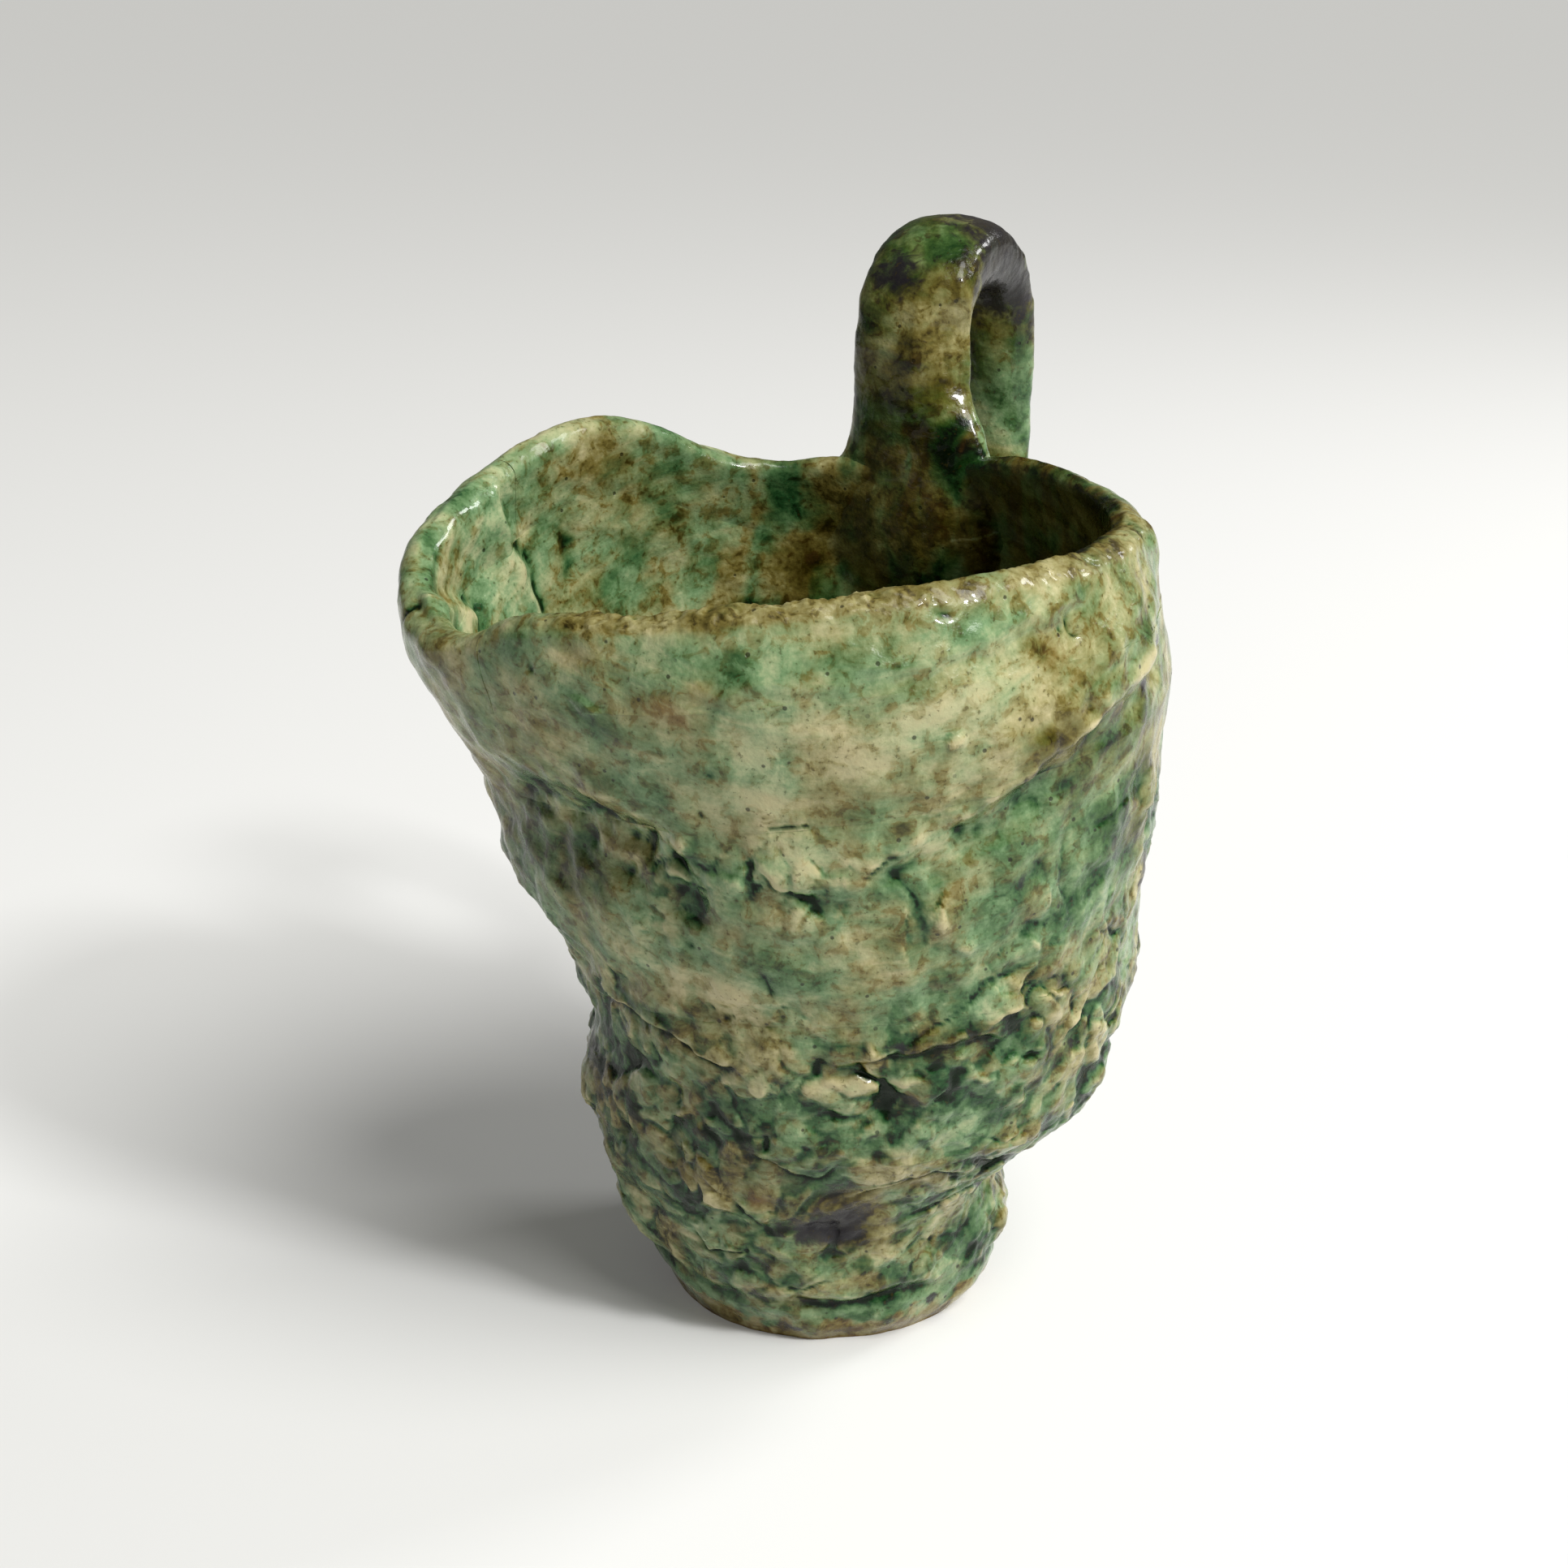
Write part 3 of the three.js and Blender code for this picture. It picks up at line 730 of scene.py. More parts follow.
class Clay:
    """How the potter's hands left the clay: smooth at the shoulder, dabbed below, dragged inside."""

    # Heights between which the dabs give way to the belly, and the belly to the smooth shoulder
    DABBED = (80.0, 104.0)
    SMOOTH = (128.0, 148.0)

    # Mean height of a layer of flakes, and the width, reach and layer of each push that bends their edges
    FLAKE_MEAN = 0.39
    FLAKE_PUSHES = ((17.0, 5.0, 30), (5.0, 1.6, 40), (2.4, 0.4, 45))

    # Heights of the groove round the foot and of the green band and the bare edge below it
    FOOT_GROOVE = 13.0
    FOOT_BAND = 9.0
    FOOT_EDGE = (6.5, 3.0)

    # The beads of glaze below the rim at the front
    BEADS_ANGLE = 272.0
    BEADS_HEIGHT = 176.0

    # The drags inside the lip
    LIP_ANGLE = 178.0
    LIP_FROM = (140.0, 158.0)

    # Where the painted shade inside is darkest
    SHADE_ANGLE = 20.0
    SHADE_HEIGHT = 170.0

    # The gritty stretches of the rim, and what their glaze shows
    GRITTY_FRONT = 255.0
    GRITTY_RIGHT = 332.0
    GRITTY_TONES = {
        Tone.GRIT: 1.0,
        Tone.IRON: 0.15,
        Tone.SLATE: 0.3,
        Tone.COPPER: -0.6,
        Tone.OLIVE: 0.3,
        Tone.CREAM: -0.1,
    }

    def __init__(self, grain: Grain) -> None:
        """Keep the noise that the clay is roughened with.

        Args:
            grain: The noise.
        """
        self.grain = grain

    def zones(self, skin: Skin) -> tuple[np.ndarray, np.ndarray, np.ndarray]:
        """How much each point belongs to the dabbed foot, the belly and the smooth shoulder.

        Args:
            skin: The points of a piece.

        Returns:
            Three shares that add up to 1.
        """
        level = skin.height + 6.0 * self.grain.soft(skin.at, 38.0, 1)
        low = 1.0 - ease(*self.DABBED, level)
        high = ease(*self.SMOOTH, level)
        return low, 1.0 - low - high, high

    def outside(self, skin: Skin) -> None:
        """Roughen the outer face.

        Args:
            skin: The points of a piece.
        """
        grain = self.grain
        low, middle, high = self.zones(skin)
        face = skin.face(Side.OUTSIDE)
        patch = ease(-0.3, 0.4, grain.soft(skin.at, 20.0, 7))
        relief = grain.soft(skin.at, 30.0, 2)
        relief += (0.7 * low + 0.9 * middle + 0.5 * high) * grain.rough(skin.at, 11.0, 3, 2)
        relief += (0.25 * low + 0.16 * middle + 0.05 * high) * grain.rough(skin.at, 3.4, 4, 2)
        relief += 0.15 * (middle + high) * grain.soft(self.drawn(skin.at), 6.0, 9)
        skin.rise += relief * face
        calm = ease(9.0, 22.0, skin.height) * (1.0 - 0.85 * LEFT_FLUTE.share(skin))
        flaked = low * (0.5 + 0.5 * patch) + 0.6 * middle * patch
        self.flakes(skin, flaked * calm * face)

    def flakes(self, skin: Skin, share: np.ndarray) -> None:
        """Press torn flakes of clay on, pale on their edges and green between them.

        Args:
            skin: The points of a piece.
            share: How strong the flakes are at each point.
        """
        bent = skin.at
        for size, reach, salt in self.FLAKE_PUSHES:
            bent = self.grain.warped(bent, size, reach, salt)
        large, large_own = self.grain.flakes(bent, 10.0, 5)
        small, small_own = self.grain.flakes(bent, 5.0, 6)
        skin.rise += (1.8 * (large - self.FLAKE_MEAN) + small - self.FLAKE_MEAN) * share
        proud = 0.6 * large + 0.4 * small
        own = 0.5 * large_own + 0.5 * small_own - 0.5
        skin.tint(Tone.CREAM, 1.8 * (proud - 0.45) * share)
        skin.tint(Tone.POOL, 0.65 * ease(0.32, 0.06, proud) * share)
        skin.tint(Tone.COPPER, (own + 0.7 * ease(0.4, 0.1, proud)) * share)
        skin.tint(Tone.IRON, 0.4 * ease(-0.12, -0.3, own) * share)

    def washes(self, skin: Skin) -> None:
        """Lay broad soft patches of copper and pale slip on both faces, and dark ones low on the outside.

        Args:
            skin: The points of a piece.
        """
        grain = self.grain
        low, _, high = self.zones(skin)
        face = skin.face(Side.OUTSIDE)
        bent = grain.warped(skin.at, 16.0, 7.0, 70)
        copper = grain.rough(bent, 22.0, 75)
        cream = grain.rough(bent, 15.0, 85)
        dark = grain.rough(bent, 9.0, 95)
        # Paler towards the shoulder and darker towards the foot
        skin.tint(Tone.COPPER, (0.8 - 0.3 * high * face) * copper - 0.08 * low * face)
        skin.tint(Tone.CREAM, 0.6 * cream + (0.14 * high - 0.12 * low) * face)
        skin.tint(Tone.POOL, 0.65 * ease(0.15, 0.65, dark) * low * face)

    def crumbs(self, skin: Skin) -> None:
        """Leave crumbs of clay on rough stretches and iron patches, and beads of glaze below the rim.

        Args:
            skin: The points of a piece, with its stains.
        """
        low, middle, high = self.zones(skin)
        strong = low + 0.6 * middle + (0.12 + 0.45 * ease(164.0, 176.0, skin.height)) * high
        rough = ease(-0.15, 0.45, self.grain.soft(skin.at, 15.0, 10)) * strong
        front = ease(0.3, 0.8, np.cos(np.radians(skin.angle - self.BEADS_ANGLE)))
        beads = 0.5 * front * np.exp(-(((skin.height - self.BEADS_HEIGHT) / 5.0) ** 2))
        iron = 0.5 * np.clip(skin.tones[Tone.IRON], 0.0, 1.0)
        crumbs = self.grain.dabs(self.grain.warped(skin.at, 3.0, 0.8, 50), 2.8, 13)
        crumbs = np.clip(crumbs - 0.05, 0.0, None) * np.maximum(np.maximum(rough, beads), iron)
        skin.rise += 1.2 * crumbs * skin.face(Side.OUTSIDE)

    def foot(self, skin: Skin) -> None:
        """Press an uneven groove round the top of the slab, and stain the bands below it.

        Args:
            skin: The points of a piece.
        """
        face = skin.face(Side.OUTSIDE)
        height = skin.height + 2.2 * self.grain.rough(skin.at, 15.0, 15, 2)
        patchy = ease(-0.4, 0.3, self.grain.soft(skin.at, 17.0, 17))
        groove = np.exp(-(((height - self.FOOT_GROOVE) / 2.2) ** 2)) * (0.25 + 0.75 * patchy) * face
        skin.rise -= 1.5 * groove
        skin.rise += 1.5 * self.grain.soft(skin.at, 12.0, 16) * ease(14.0, 4.0, height) * face
        skin.tint(Tone.POOL, 0.7 * groove)
        skin.tint(Tone.COPPER, 0.5 * np.exp(-(((height - self.FOOT_BAND) / 2.6) ** 2)) * face)
        bare = ease(*self.FOOT_EDGE, height + 5.0 * self.grain.rough(skin.at, 7.0, 18)) * face
        skin.tint(Tone.IRON, 0.8 * bare)
        skin.tint(Tone.CREAM, 0.15 * bare)
        skin.tint(Tone.COPPER, -0.9 * bare)

    @staticmethod
    def drawn(at: np.ndarray) -> np.ndarray:
        """Points squeezed so that noise read there is drawn out round the pot, sagging at the front."""
        x, y, z = at.T
        return np.stack([x * DRAWN_OUT, y * DRAWN_OUT, z - DRAWN_SAG * y], axis=1)

    def inside(self, skin: Skin) -> None:
        """Drag fingers round the inner face and down the lip, and paint shade on the inner face, deepest at
        the right and low down.

        Args:
            skin: The points of a piece.
        """
        face = skin.face(Side.INSIDE)
        drawn = skin.at * np.array([0.35, 0.35, 1.0])
        drawn[:, 2] += 0.5 * skin.at[:, 0]
        relief = 0.9 * self.grain.soft(skin.at, 20.0, 11) + 0.3 * self.grain.rough(drawn, 6.0, 12, 2)
        skin.rise += relief * face
        lip = np.exp(-(((skin.angle - self.LIP_ANGLE) / 20.0) ** 2))
        lip = lip * ease(*self.LIP_FROM, skin.height) * face
        arc = np.radians(skin.angle) * 70.0
        pulled = np.stack([arc + 0.6 * skin.height, 0.12 * skin.height, np.zeros(len(arc))], axis=1)
        drag = self.grain.rough(pulled, 6.0, 14)
        skin.rise += 0.4 * drag * lip
        skin.tint(Tone.CREAM, (0.25 + 0.8 * drag) * lip)
        skin.tint(Tone.COPPER, (0.3 - 0.4 * drag) * lip)
        self.shade_and_drips(skin)

    def shade_and_drips(self, skin: Skin) -> None:
        """Paint shade on the inner face, most at the right and deep down, with drips of copper and iron.

        Args:
            skin: The points of a piece.
        """
        face = skin.face(Side.INSIDE)
        turned = np.cos(np.radians(skin.angle - self.SHADE_ANGLE))
        turned = turned - 0.012 * (skin.height - self.SHADE_HEIGHT)
        inner_shade = face * ease(-0.5, 0.7, turned)
        arc = np.radians((skin.angle + 90.0) % 360.0) * 66.0
        flat = np.stack([arc, 0.5 * skin.height, np.zeros(len(arc))], axis=1)
        drip = self.grain.rough(self.grain.warped(flat, 11.0, 7.0, 110), 12.0, 115)
        # Painted shade on the inner face
        skin.tint(Tone.OLIVE, 0.72 * inner_shade)
        skin.tint(Tone.COPPER, 1.3 * drip * inner_shade)
        skin.tint(Tone.IRON, 0.8 * ease(0.05, 0.5, -drip) * inner_shade)
        skin.tint(Tone.POOL, 0.5 * ease(0.3, 0.7, drip) * inner_shade)

    def crest(self, skin: Skin, upward: np.ndarray) -> None:
        """Leave the top of the rim uneven, and gritty at the front and at the right.

        Args:
            skin: The points of a piece.
            upward: Part of each point's normal that points up.
        """
        crest = ease(0.25, 0.7, upward)
        front = ease(0.72, 0.95, np.cos(np.radians(skin.angle - self.GRITTY_FRONT)))
        right = ease(0.8, 0.95, np.cos(np.radians(skin.angle - self.GRITTY_RIGHT)))
        gritty = front + 0.7 * right
        skin.rise += crest * (0.12 + 0.45 * gritty) * self.grain.rough(skin.at, 2.4, 21, 2)
        skin.rise += crest * 0.6 * self.grain.soft(skin.at, 14.0, 22)
        for tone, strength in self.GRITTY_TONES.items():
            skin.tint(tone, strength * crest * gritty)

    def marks(self, skin: Skin) -> None:
        """Press every named mark into the clay, with ragged edges."""
        for axis in range(2):
            skin.ragged[:, axis] = 1.4 * self.grain.rough(skin.at, 8.0, 60 + axis, 2)
        for mark in (*FOLDS, *GROOVES, *DENTS, *STAINS_AND_SHADE):
            mark.press(skin)


def pigment(code: str) -> tuple[float, float, float, float]:
    """A colour as the shader takes it.

    Args:
        code: Six hexadecimal digits of the colour as it looks on a screen.

    Returns:
        Linear red, green and blue, and an alpha of 1.
    """
    shares = [int(code[i:i + 2], 16) / 255.0 for i in (0, 2, 4)]
    linear = [c / 12.92 if c <= 0.04045 else ((c + 0.055) / 1.055) ** 2.4 for c in shares]
    return (linear[0], linear[1], linear[2], 1.0)


class Wire:
    """A socket of a shader that takes part in sums; each sum adds a Math node."""

    def __init__(self, bench: "GlazeBench", socket: bpy.types.NodeSocket) -> None:
        """Keep the socket and the tree that it is in.

        Args:
            bench: The tree's builder.
            socket: The output socket.
        """
        self.bench = bench
        self.socket = socket

    def _sum(self, operation: str, first: "Wire | float", second: "Wire | float") -> "Wire":
        """Add one Math node."""
        return self.bench.node("ShaderNodeMath", {"operation": operation}, {0: first, 1: second})

    def __add__(self, other: "Wire | float") -> "Wire":
        """This plus other."""
        return self._sum("ADD", self, other)

    def __radd__(self, other: float) -> "Wire":
        """Other plus this."""
        return self._sum("ADD", other, self)

    def __sub__(self, other: "Wire | float") -> "Wire":
        """This less other."""
        return self._sum("SUBTRACT", self, other)

    def __rsub__(self, other: float) -> "Wire":
        """Other less this."""
        return self._sum("SUBTRACT", other, self)

    def __mul__(self, other: "Wire | float") -> "Wire":
        """This times other."""
        return self._sum("MULTIPLY", self, other)

    def __rmul__(self, other: float) -> "Wire":
        """Other times this."""
        return self._sum("MULTIPLY", other, self)

    def step(self, low: float, high: float) -> "Wire":
        """A soft step from 0 at low to 1 at high; high may be below low."""
        settings = {"interpolation_type": "SMOOTHSTEP"}
        if low < high:
            return self.bench.node("ShaderNodeMapRange", settings, {0: self, 1: low, 2: high})
        return 1.0 - self.bench.node("ShaderNodeMapRange", settings, {0: self, 1: high, 2: low})


class GlazeBench:
    """Builds the node tree of one material."""

    def __init__(self, name: str) -> None:
        """Start an empty material.

        Args:
            name: The material's name.
        """
        self.material = bpy.data.materials.new(name)
        self.material.use_nodes = True
        self.tree = self.material.node_tree
        self.tree.nodes.clear()

    def node(
        self, kind: str, settings: dict[str, Any], inputs: dict[str | int, Any], output: str | int = 0
    ) -> Wire:
        """Add one node.

        Args:
            kind: The node's type.
            settings: What the node is set to, before its sockets are filled.
            inputs: A value or a wire for each socket, by name or by number.
            output: The output to use, by name or by number.

        Returns:
            The output as a wire.
        """
        node = self.tree.nodes.new(kind)
        for name, value in settings.items():
            setattr(node, name, value)
        for key, value in inputs.items():
            if isinstance(value, Wire):
                self.tree.links.new(value.socket, node.inputs[key])
            else:
                node.inputs[key].default_value = value
        return Wire(self, node.outputs[output] if node.outputs else None)

    def attribute(self, name: str) -> Wire:
        """A vertex attribute of the piece."""
        return self.node("ShaderNodeAttribute", {"attribute_name": name}, {}, "Fac")

    def noise(self, place: Wire, size: float, detail: float, warp: float = 0.0, rough: float = 0.5) -> Wire:
        """Cloudy noise from 0 to 1.

        Args:
            place: Where it is read, in metres.
            size: Width of its clouds in millimetres.
            detail: How many finer layers it has.
            warp: How much it is bent by itself.
            rough: How strong the finer layers are.

        Returns:
            The noise.
        """
        values = {"Vector": place, "Scale": 1.0 / (size * MM), "Detail": detail}
        values |= {"Distortion": warp, "Roughness": rough}
        return self.node("ShaderNodeTexNoise", {}, values, "Fac")

    def blend(self, first: Any, second: Any, share: Wire, way: str = "MIX") -> Wire:
        """Mix two colours.

        Args:
            first: Colour at share 0.
            second: Colour at share 1, or what the first is multiplied with there.
            share: How much of the second.
            way: MIX or MULTIPLY.

        Returns:
            The mixed colour.
        """
        settings = {"data_type": "RGBA", "blend_type": way}
        return self.node("ShaderNodeMix", settings, {0: share, 6: first, 7: second}, 2)

    def ramp(self, share: Wire, stops: Sequence[tuple[float, str]]) -> Wire:
        """Colours that follow one another as a value rises.

        Args:
            share: The value, from 0 to 1.
            stops: Where each colour stands, and the colour.

        Returns:
            The colour.
        """
        wire = self.node("ShaderNodeValToRGB", {}, {"Fac": share})
        steps = wire.socket.node.color_ramp.elements
        while len(steps) < len(stops):
            steps.new(1.0)
        for step, (at, code) in zip(steps, stops):
            step.position = at
            step.color = pigment(code)
        return wire

    def finish(self, shader: Wire) -> None:
        """Put the shader on the surface."""
        self.node("ShaderNodeOutputMaterial", {}, {"Surface": shader})


@dataclass(frozen=True)
class Mottle:
    """The noises that break up the glaze.

    Attributes:
        thin: Broad patches of thin and thick glaze.
        hue: Broad patches of slip and copper.
        streak: Runs drawn out round the pot.
        broken: Small patches.
        crisp: The small patches with firm edges.
        fine: Freckles.
        pit: Pinholes.
    """

    thin: Wire
    hue: Wire
    streak: Wire
    broken: Wire
    crisp: Wire
    fine: Wire
    pit: Wire


@dataclass(frozen=True)
class Glaze:
    """The mottled glaze: pale slip under washes of copper, iron and manganese.

    Attributes:
        name: Name of the material, which is the record's slot.
        cream: Bare slip where the glaze ran thin.
        buff: Slip under a thin glaze.
        tan: Slip stained by the clay.
        umber: Thick brown glaze.
        soot: Brown glaze at its darkest.
        mist: A breath of copper.
        jade: Thin copper wash.
        copper: Full copper wash.
        emerald: Copper pooled in a hollow.
        deep: The bottom of a crease.
        rust: Strong iron.
        olive: What thick glaze over dark clay filters the light with; painted shade is multiplied in with
            it too.
        slate: Manganese.
    """

    name: str
    cream: str = "b4aa81"
    buff: str = "918a5c"
    tan: str = "6d6230"
    umber: str = "3a310a"
    soot: str = "161304"
    mist: str = "a1ab81"
    jade: str = "6f8b62"
    copper: str = "48683f"
    emerald: str = "1f4422"
    deep: str = "081a07"
    rust: str = "6d4c22"
    olive: str = "b2b26c"
    slate: str = "1e1b20"

    # Where the colours of a ramp stand, from thin glaze to thick
    STOPS = (0.02, 0.3, 0.55, 0.8, 1.0)

    # Spacing of the pinholes and height of the bumps, in millimetres
    PIT_SPACING = 4.5
    BUMP = 0.4

    def make(self) -> bpy.types.Material:
        """Build the material.

        Returns:
            The finished material.
        """
        bench = GlazeBench(self.name)
        place = bench.node("ShaderNodeTexCoord", {}, {}, "Object")
        tones = {tone: bench.attribute(tone.value) for tone in Tone}
        mottle = self.mottle(bench, place)
        height = bench.noise(place, 1.5, 2.0) + mottle.streak * 0.7 + mottle.broken * 0.8
        height = height + mottle.fine * 0.3 - mottle.pit * 0.8
        bump = {"Strength": 0.5, "Distance": self.BUMP * MM, "Height": height}
        coat = 0.4 - 0.25 * tones[Tone.GRIT]
        values = {
            "Base Color": self.stained(bench, tones, mottle),
            "Roughness": 0.2 + mottle.broken * 0.14 + tones[Tone.GRIT] * 0.25,
            "Specular IOR Level": 0.15,
            "Coat Weight": coat - 0.3 * tones[Tone.POOL] - 0.15 * tones[Tone.OLIVE],
            "Coat Roughness": 0.06,
            "Normal": bench.node("ShaderNodeBump", {}, bump),
        }
        bench.finish(bench.node("ShaderNodeBsdfPrincipled", {}, values))
        return bench.material

    def mottle(self, bench: GlazeBench, place: Wire) -> Mottle:
        """Make the noises that break up the glaze.

        Args:
            bench: The material's builder.
            place: Object coordinates.

        Returns:
            The noises.
        """
        broken = bench.noise(place, 3.7, 6.0, 0.6, 0.6)
        return Mottle(
            thin=bench.noise(place, 9.0, 5.0, 0.8, 0.5),
            hue=bench.noise(place, 13.5, 5.0, 1.0, 0.52),
            streak=bench.noise(self.flow(bench, place), 4.0, 6.0, 0.5, 0.6),
            broken=broken,
            crisp=broken.step(0.53, 0.6),
            fine=bench.noise(place, 1.0, 3.0),
            pit=self.pits(bench, place),
        )

    def ground(self, bench: GlazeBench, tones: dict[Tone, Wire], mottle: Mottle) -> Wire:
        """Mix the slip's browns with the copper's greens, from thin glaze to thick.

        Args:
            bench: The material's builder.
            tones: The piece's stains.
            mottle: The noises.

        Returns:
            The colour.
        """
        pool, olive = tones[Tone.POOL], tones[Tone.OLIVE]
        iron, cream = tones[Tone.IRON], tones[Tone.CREAM]
        broken, streak, crisp = mottle.broken - 0.5, mottle.streak - 0.5, mottle.crisp - 0.5
        dark = 0.42 + 0.8 * (mottle.thin - 0.5) + 0.7 * broken + 0.5 * streak + 0.35 * (mottle.fine - 0.5)
        # The olive tone darkens both for thick glaze and for painted shade
        dark = dark + 0.5 * pool + 0.32 * olive + 0.12 * iron - 0.34 * cream + 0.1 * crisp
        green = 0.5 + 0.9 * (mottle.hue - 0.5) + 0.8 * streak - 0.5 * broken + 0.5 * tones[Tone.COPPER]
        green = green + 0.25 * pool - 0.5 * iron - 0.2 * cream - 0.25 * olive - 0.16 * crisp
        browns = (self.cream, self.buff, self.tan, self.umber, self.soot)
        greens = (self.mist, self.jade, self.copper, self.emerald, self.deep)
        warm, cool = (bench.ramp(dark, list(zip(self.STOPS, codes))) for codes in (browns, greens))
        return bench.blend(warm, cool, green.step(0.05, 0.95))

    def stained(self, bench: GlazeBench, tones: dict[Tone, Wire], mottle: Mottle) -> Wire:
        """Lay iron, dark glaze with painted shade, manganese, freckles and pinholes over the ground.

        Args:
            bench: The material's builder.
            tones: The piece's stains.
            mottle: The noises.

        Returns:
            The finished colour.
        """
        broken = mottle.broken - 0.5
        color = self.ground(bench, tones, mottle)
        rusty = (tones[Tone.IRON] + broken * 1.6).step(0.5, 1.3) * 0.55
        color = bench.blend(color, pigment(self.rust), rusty)
        # Thick dark glaze and painted shade, multiplied in
        glaze_and_painted_shade = (tones[Tone.OLIVE] + (mottle.thin - 0.5) * 0.9).step(0.2, 1.0)
        color = bench.blend(color, pigment(self.olive), glaze_and_painted_shade, "MULTIPLY")
        pooled = (tones[Tone.POOL] + broken * 1.2).step(0.6, 1.4) * 0.85
        color = bench.blend(color, pigment(self.deep), pooled)
        slaty = (tones[Tone.SLATE] + broken * 1.8).step(0.35, 0.95) * 0.92
        color = bench.blend(color, pigment(self.slate), slaty)
        freckled = (mottle.fine + broken * 0.35).step(0.63, 0.7) * 0.45
        color = bench.blend(color, pigment(self.umber), freckled)
        return bench.blend(color, pigment(self.soot), mottle.pit * 0.75)

    @classmethod
    def pits(cls, bench: GlazeBench, place: Wire) -> Wire:
        """Pinholes where bubbles broke through the glaze, in about half of the cells of a grid.

        Args:
            bench: The material's builder.
            place: Object coordinates.

        Returns:
            1 in a pinhole and 0 elsewhere.
        """
        values = {"Vector": place, "Scale": 1.0 / (cls.PIT_SPACING * MM), "Randomness": 1.0}
        near = bench.node("ShaderNodeTexVoronoi", {}, values, "Distance")
        # The product turns each cell's random colour into a number
        chosen = Wire(bench, near.socket.node.outputs["Color"]) * 1.0
        return near.step(0.13, 0.07) * chosen.step(0.5, 0.55)

    @staticmethod
    def flow(bench: GlazeBench, place: Wire) -> Wire:
        """Places squeezed so that noise read there is drawn out round the pot, sagging at the front.

        Args:
            bench: The material's builder.
            place: Object coordinates.

        Returns:
            The squeezed coordinates.
        """
        outs = bench.node("ShaderNodeSeparateXYZ", {}, {"Vector": place}).socket.node.outputs
        x, y, z = (Wire(bench, socket) for socket in outs)
        values = {0: x * DRAWN_OUT, 1: y * DRAWN_OUT, 2: z - DRAWN_SAG * y}
        return bench.node("ShaderNodeCombineXYZ", {}, values)


@contextmanager
def editing(obj: bpy.types.Object, pick: str = "VERT") -> Iterator[None]:
    """Hold one object alone in edit mode.

    Args:
        obj: The object.
        pick: VERT, EDGE or FACE.

    Yields:
        Nothing.
    """
    hold(obj)
    bpy.ops.object.mode_set(mode="EDIT")
    bpy.ops.mesh.select_mode(type=pick)
    yield
    bpy.ops.object.mode_set(mode="OBJECT")


def hold(*objs: bpy.types.Object) -> None:
    """Select these objects alone and make the first the active one."""
    bpy.ops.object.select_all(action="DESELECT")
    for obj in objs:
        obj.select_set(True)
    bpy.context.view_layer.objects.active = objs[0]


def copy_node(node: bpy.types.Object, name: str) -> bpy.types.Object:
    """Copy a CAD node's mesh into a new object and merge its loose triangles.

    Args:
        node: The CAD node.
        name: Name of the copy.

    Returns:
        The copy, at the origin.
    """
    mesh = node.data.copy()
    mesh.materials.clear()
    obj = bpy.data.objects.new(name, mesh)
    bpy.context.scene.collection.objects.link(obj)
    with editing(obj):
        bpy.ops.mesh.select_all(action="SELECT")
        bpy.ops.mesh.remove_doubles(threshold=0.01 * MM)
    return obj


def points(mesh: bpy.types.Mesh) -> np.ndarray:
    """The vertices in millimetres, one row each."""
    flat = np.empty(len(mesh.vertices) * 3, np.float32)
    mesh.vertices.foreach_get("co", flat)
    return flat.reshape(-1, 3).astype(float) / MM


def set_points(mesh: bpy.types.Mesh, at: np.ndarray) -> None:
    """Move the vertices to these places in millimetres."""
    mesh.vertices.foreach_set("co", (at * MM).astype(np.float32).ravel())
    mesh.update()


def normals(mesh: bpy.types.Mesh) -> np.ndarray:
    """The vertex normals, one row each."""
    flat = np.empty(len(mesh.vertices) * 3, np.float32)
    mesh.vertex_normals.foreach_get("vector", flat)
    return flat.reshape(-1, 3).astype(float)


def edge_pairs(mesh: bpy.types.Mesh) -> np.ndarray:
    """The two vertices of each edge, one row each."""
    flat = np.empty(len(mesh.edges) * 2, np.int32)
    mesh.edges.foreach_get("vertices", flat)
    return flat.reshape(-1, 2)


def face_vectors(mesh: bpy.types.Mesh, kind: str) -> np.ndarray:
    """The faces' normals or centres, one row each."""
    flat = np.empty(len(mesh.polygons) * 3, np.float32)
    mesh.polygons.foreach_get(kind, flat)
    return flat.reshape(-1, 3)


def face_corners(mesh: bpy.types.Mesh) -> tuple[np.ndarray, np.ndarray]:
    """The corners of all faces.

    Args:
        mesh: The mesh.

    Returns:
        The vertex at each corner, and the face that the corner belongs to.
    """
    totals = np.empty(len(mesh.polygons), np.int32)
    mesh.polygons.foreach_get("loop_total", totals)
    corner = np.empty(len(mesh.loops), np.int32)
    mesh.loops.foreach_get("vertex_index", corner)
    return corner, np.repeat(np.arange(len(totals)), totals)


def write_attribute(mesh: bpy.types.Mesh, name: str, values: np.ndarray) -> None:
    """Keep one number per vertex under a name."""
    layer = mesh.attributes.get(name) or mesh.attributes.new(name, "FLOAT", "POINT")
    layer.data.foreach_set("value", values.astype(np.float32))


def read_attribute(mesh: bpy.types.Mesh, name: str) -> np.ndarray:
    """The numbers kept under a name, one per vertex."""
    flat = np.empty(len(mesh.vertices), np.float32)
    mesh.attributes[name].data.foreach_get("value", flat)
    return flat.astype(float)


def apply_modifier(obj: bpy.types.Object, kind: str, **settings: Any) -> None:
    """Add a modifier, set it and apply it.

    Args:
        obj: The object.
        kind: The modifier's type.
        settings: What the modifier is set to.
    """
    hold(obj)
    bpy.ops.object.modifier_add(type=kind)
    modifier = obj.modifiers[-1]
    for name, value in settings.items():
        setattr(modifier, name, value)
    bpy.ops.object.modifier_apply(modifier=modifier.name)


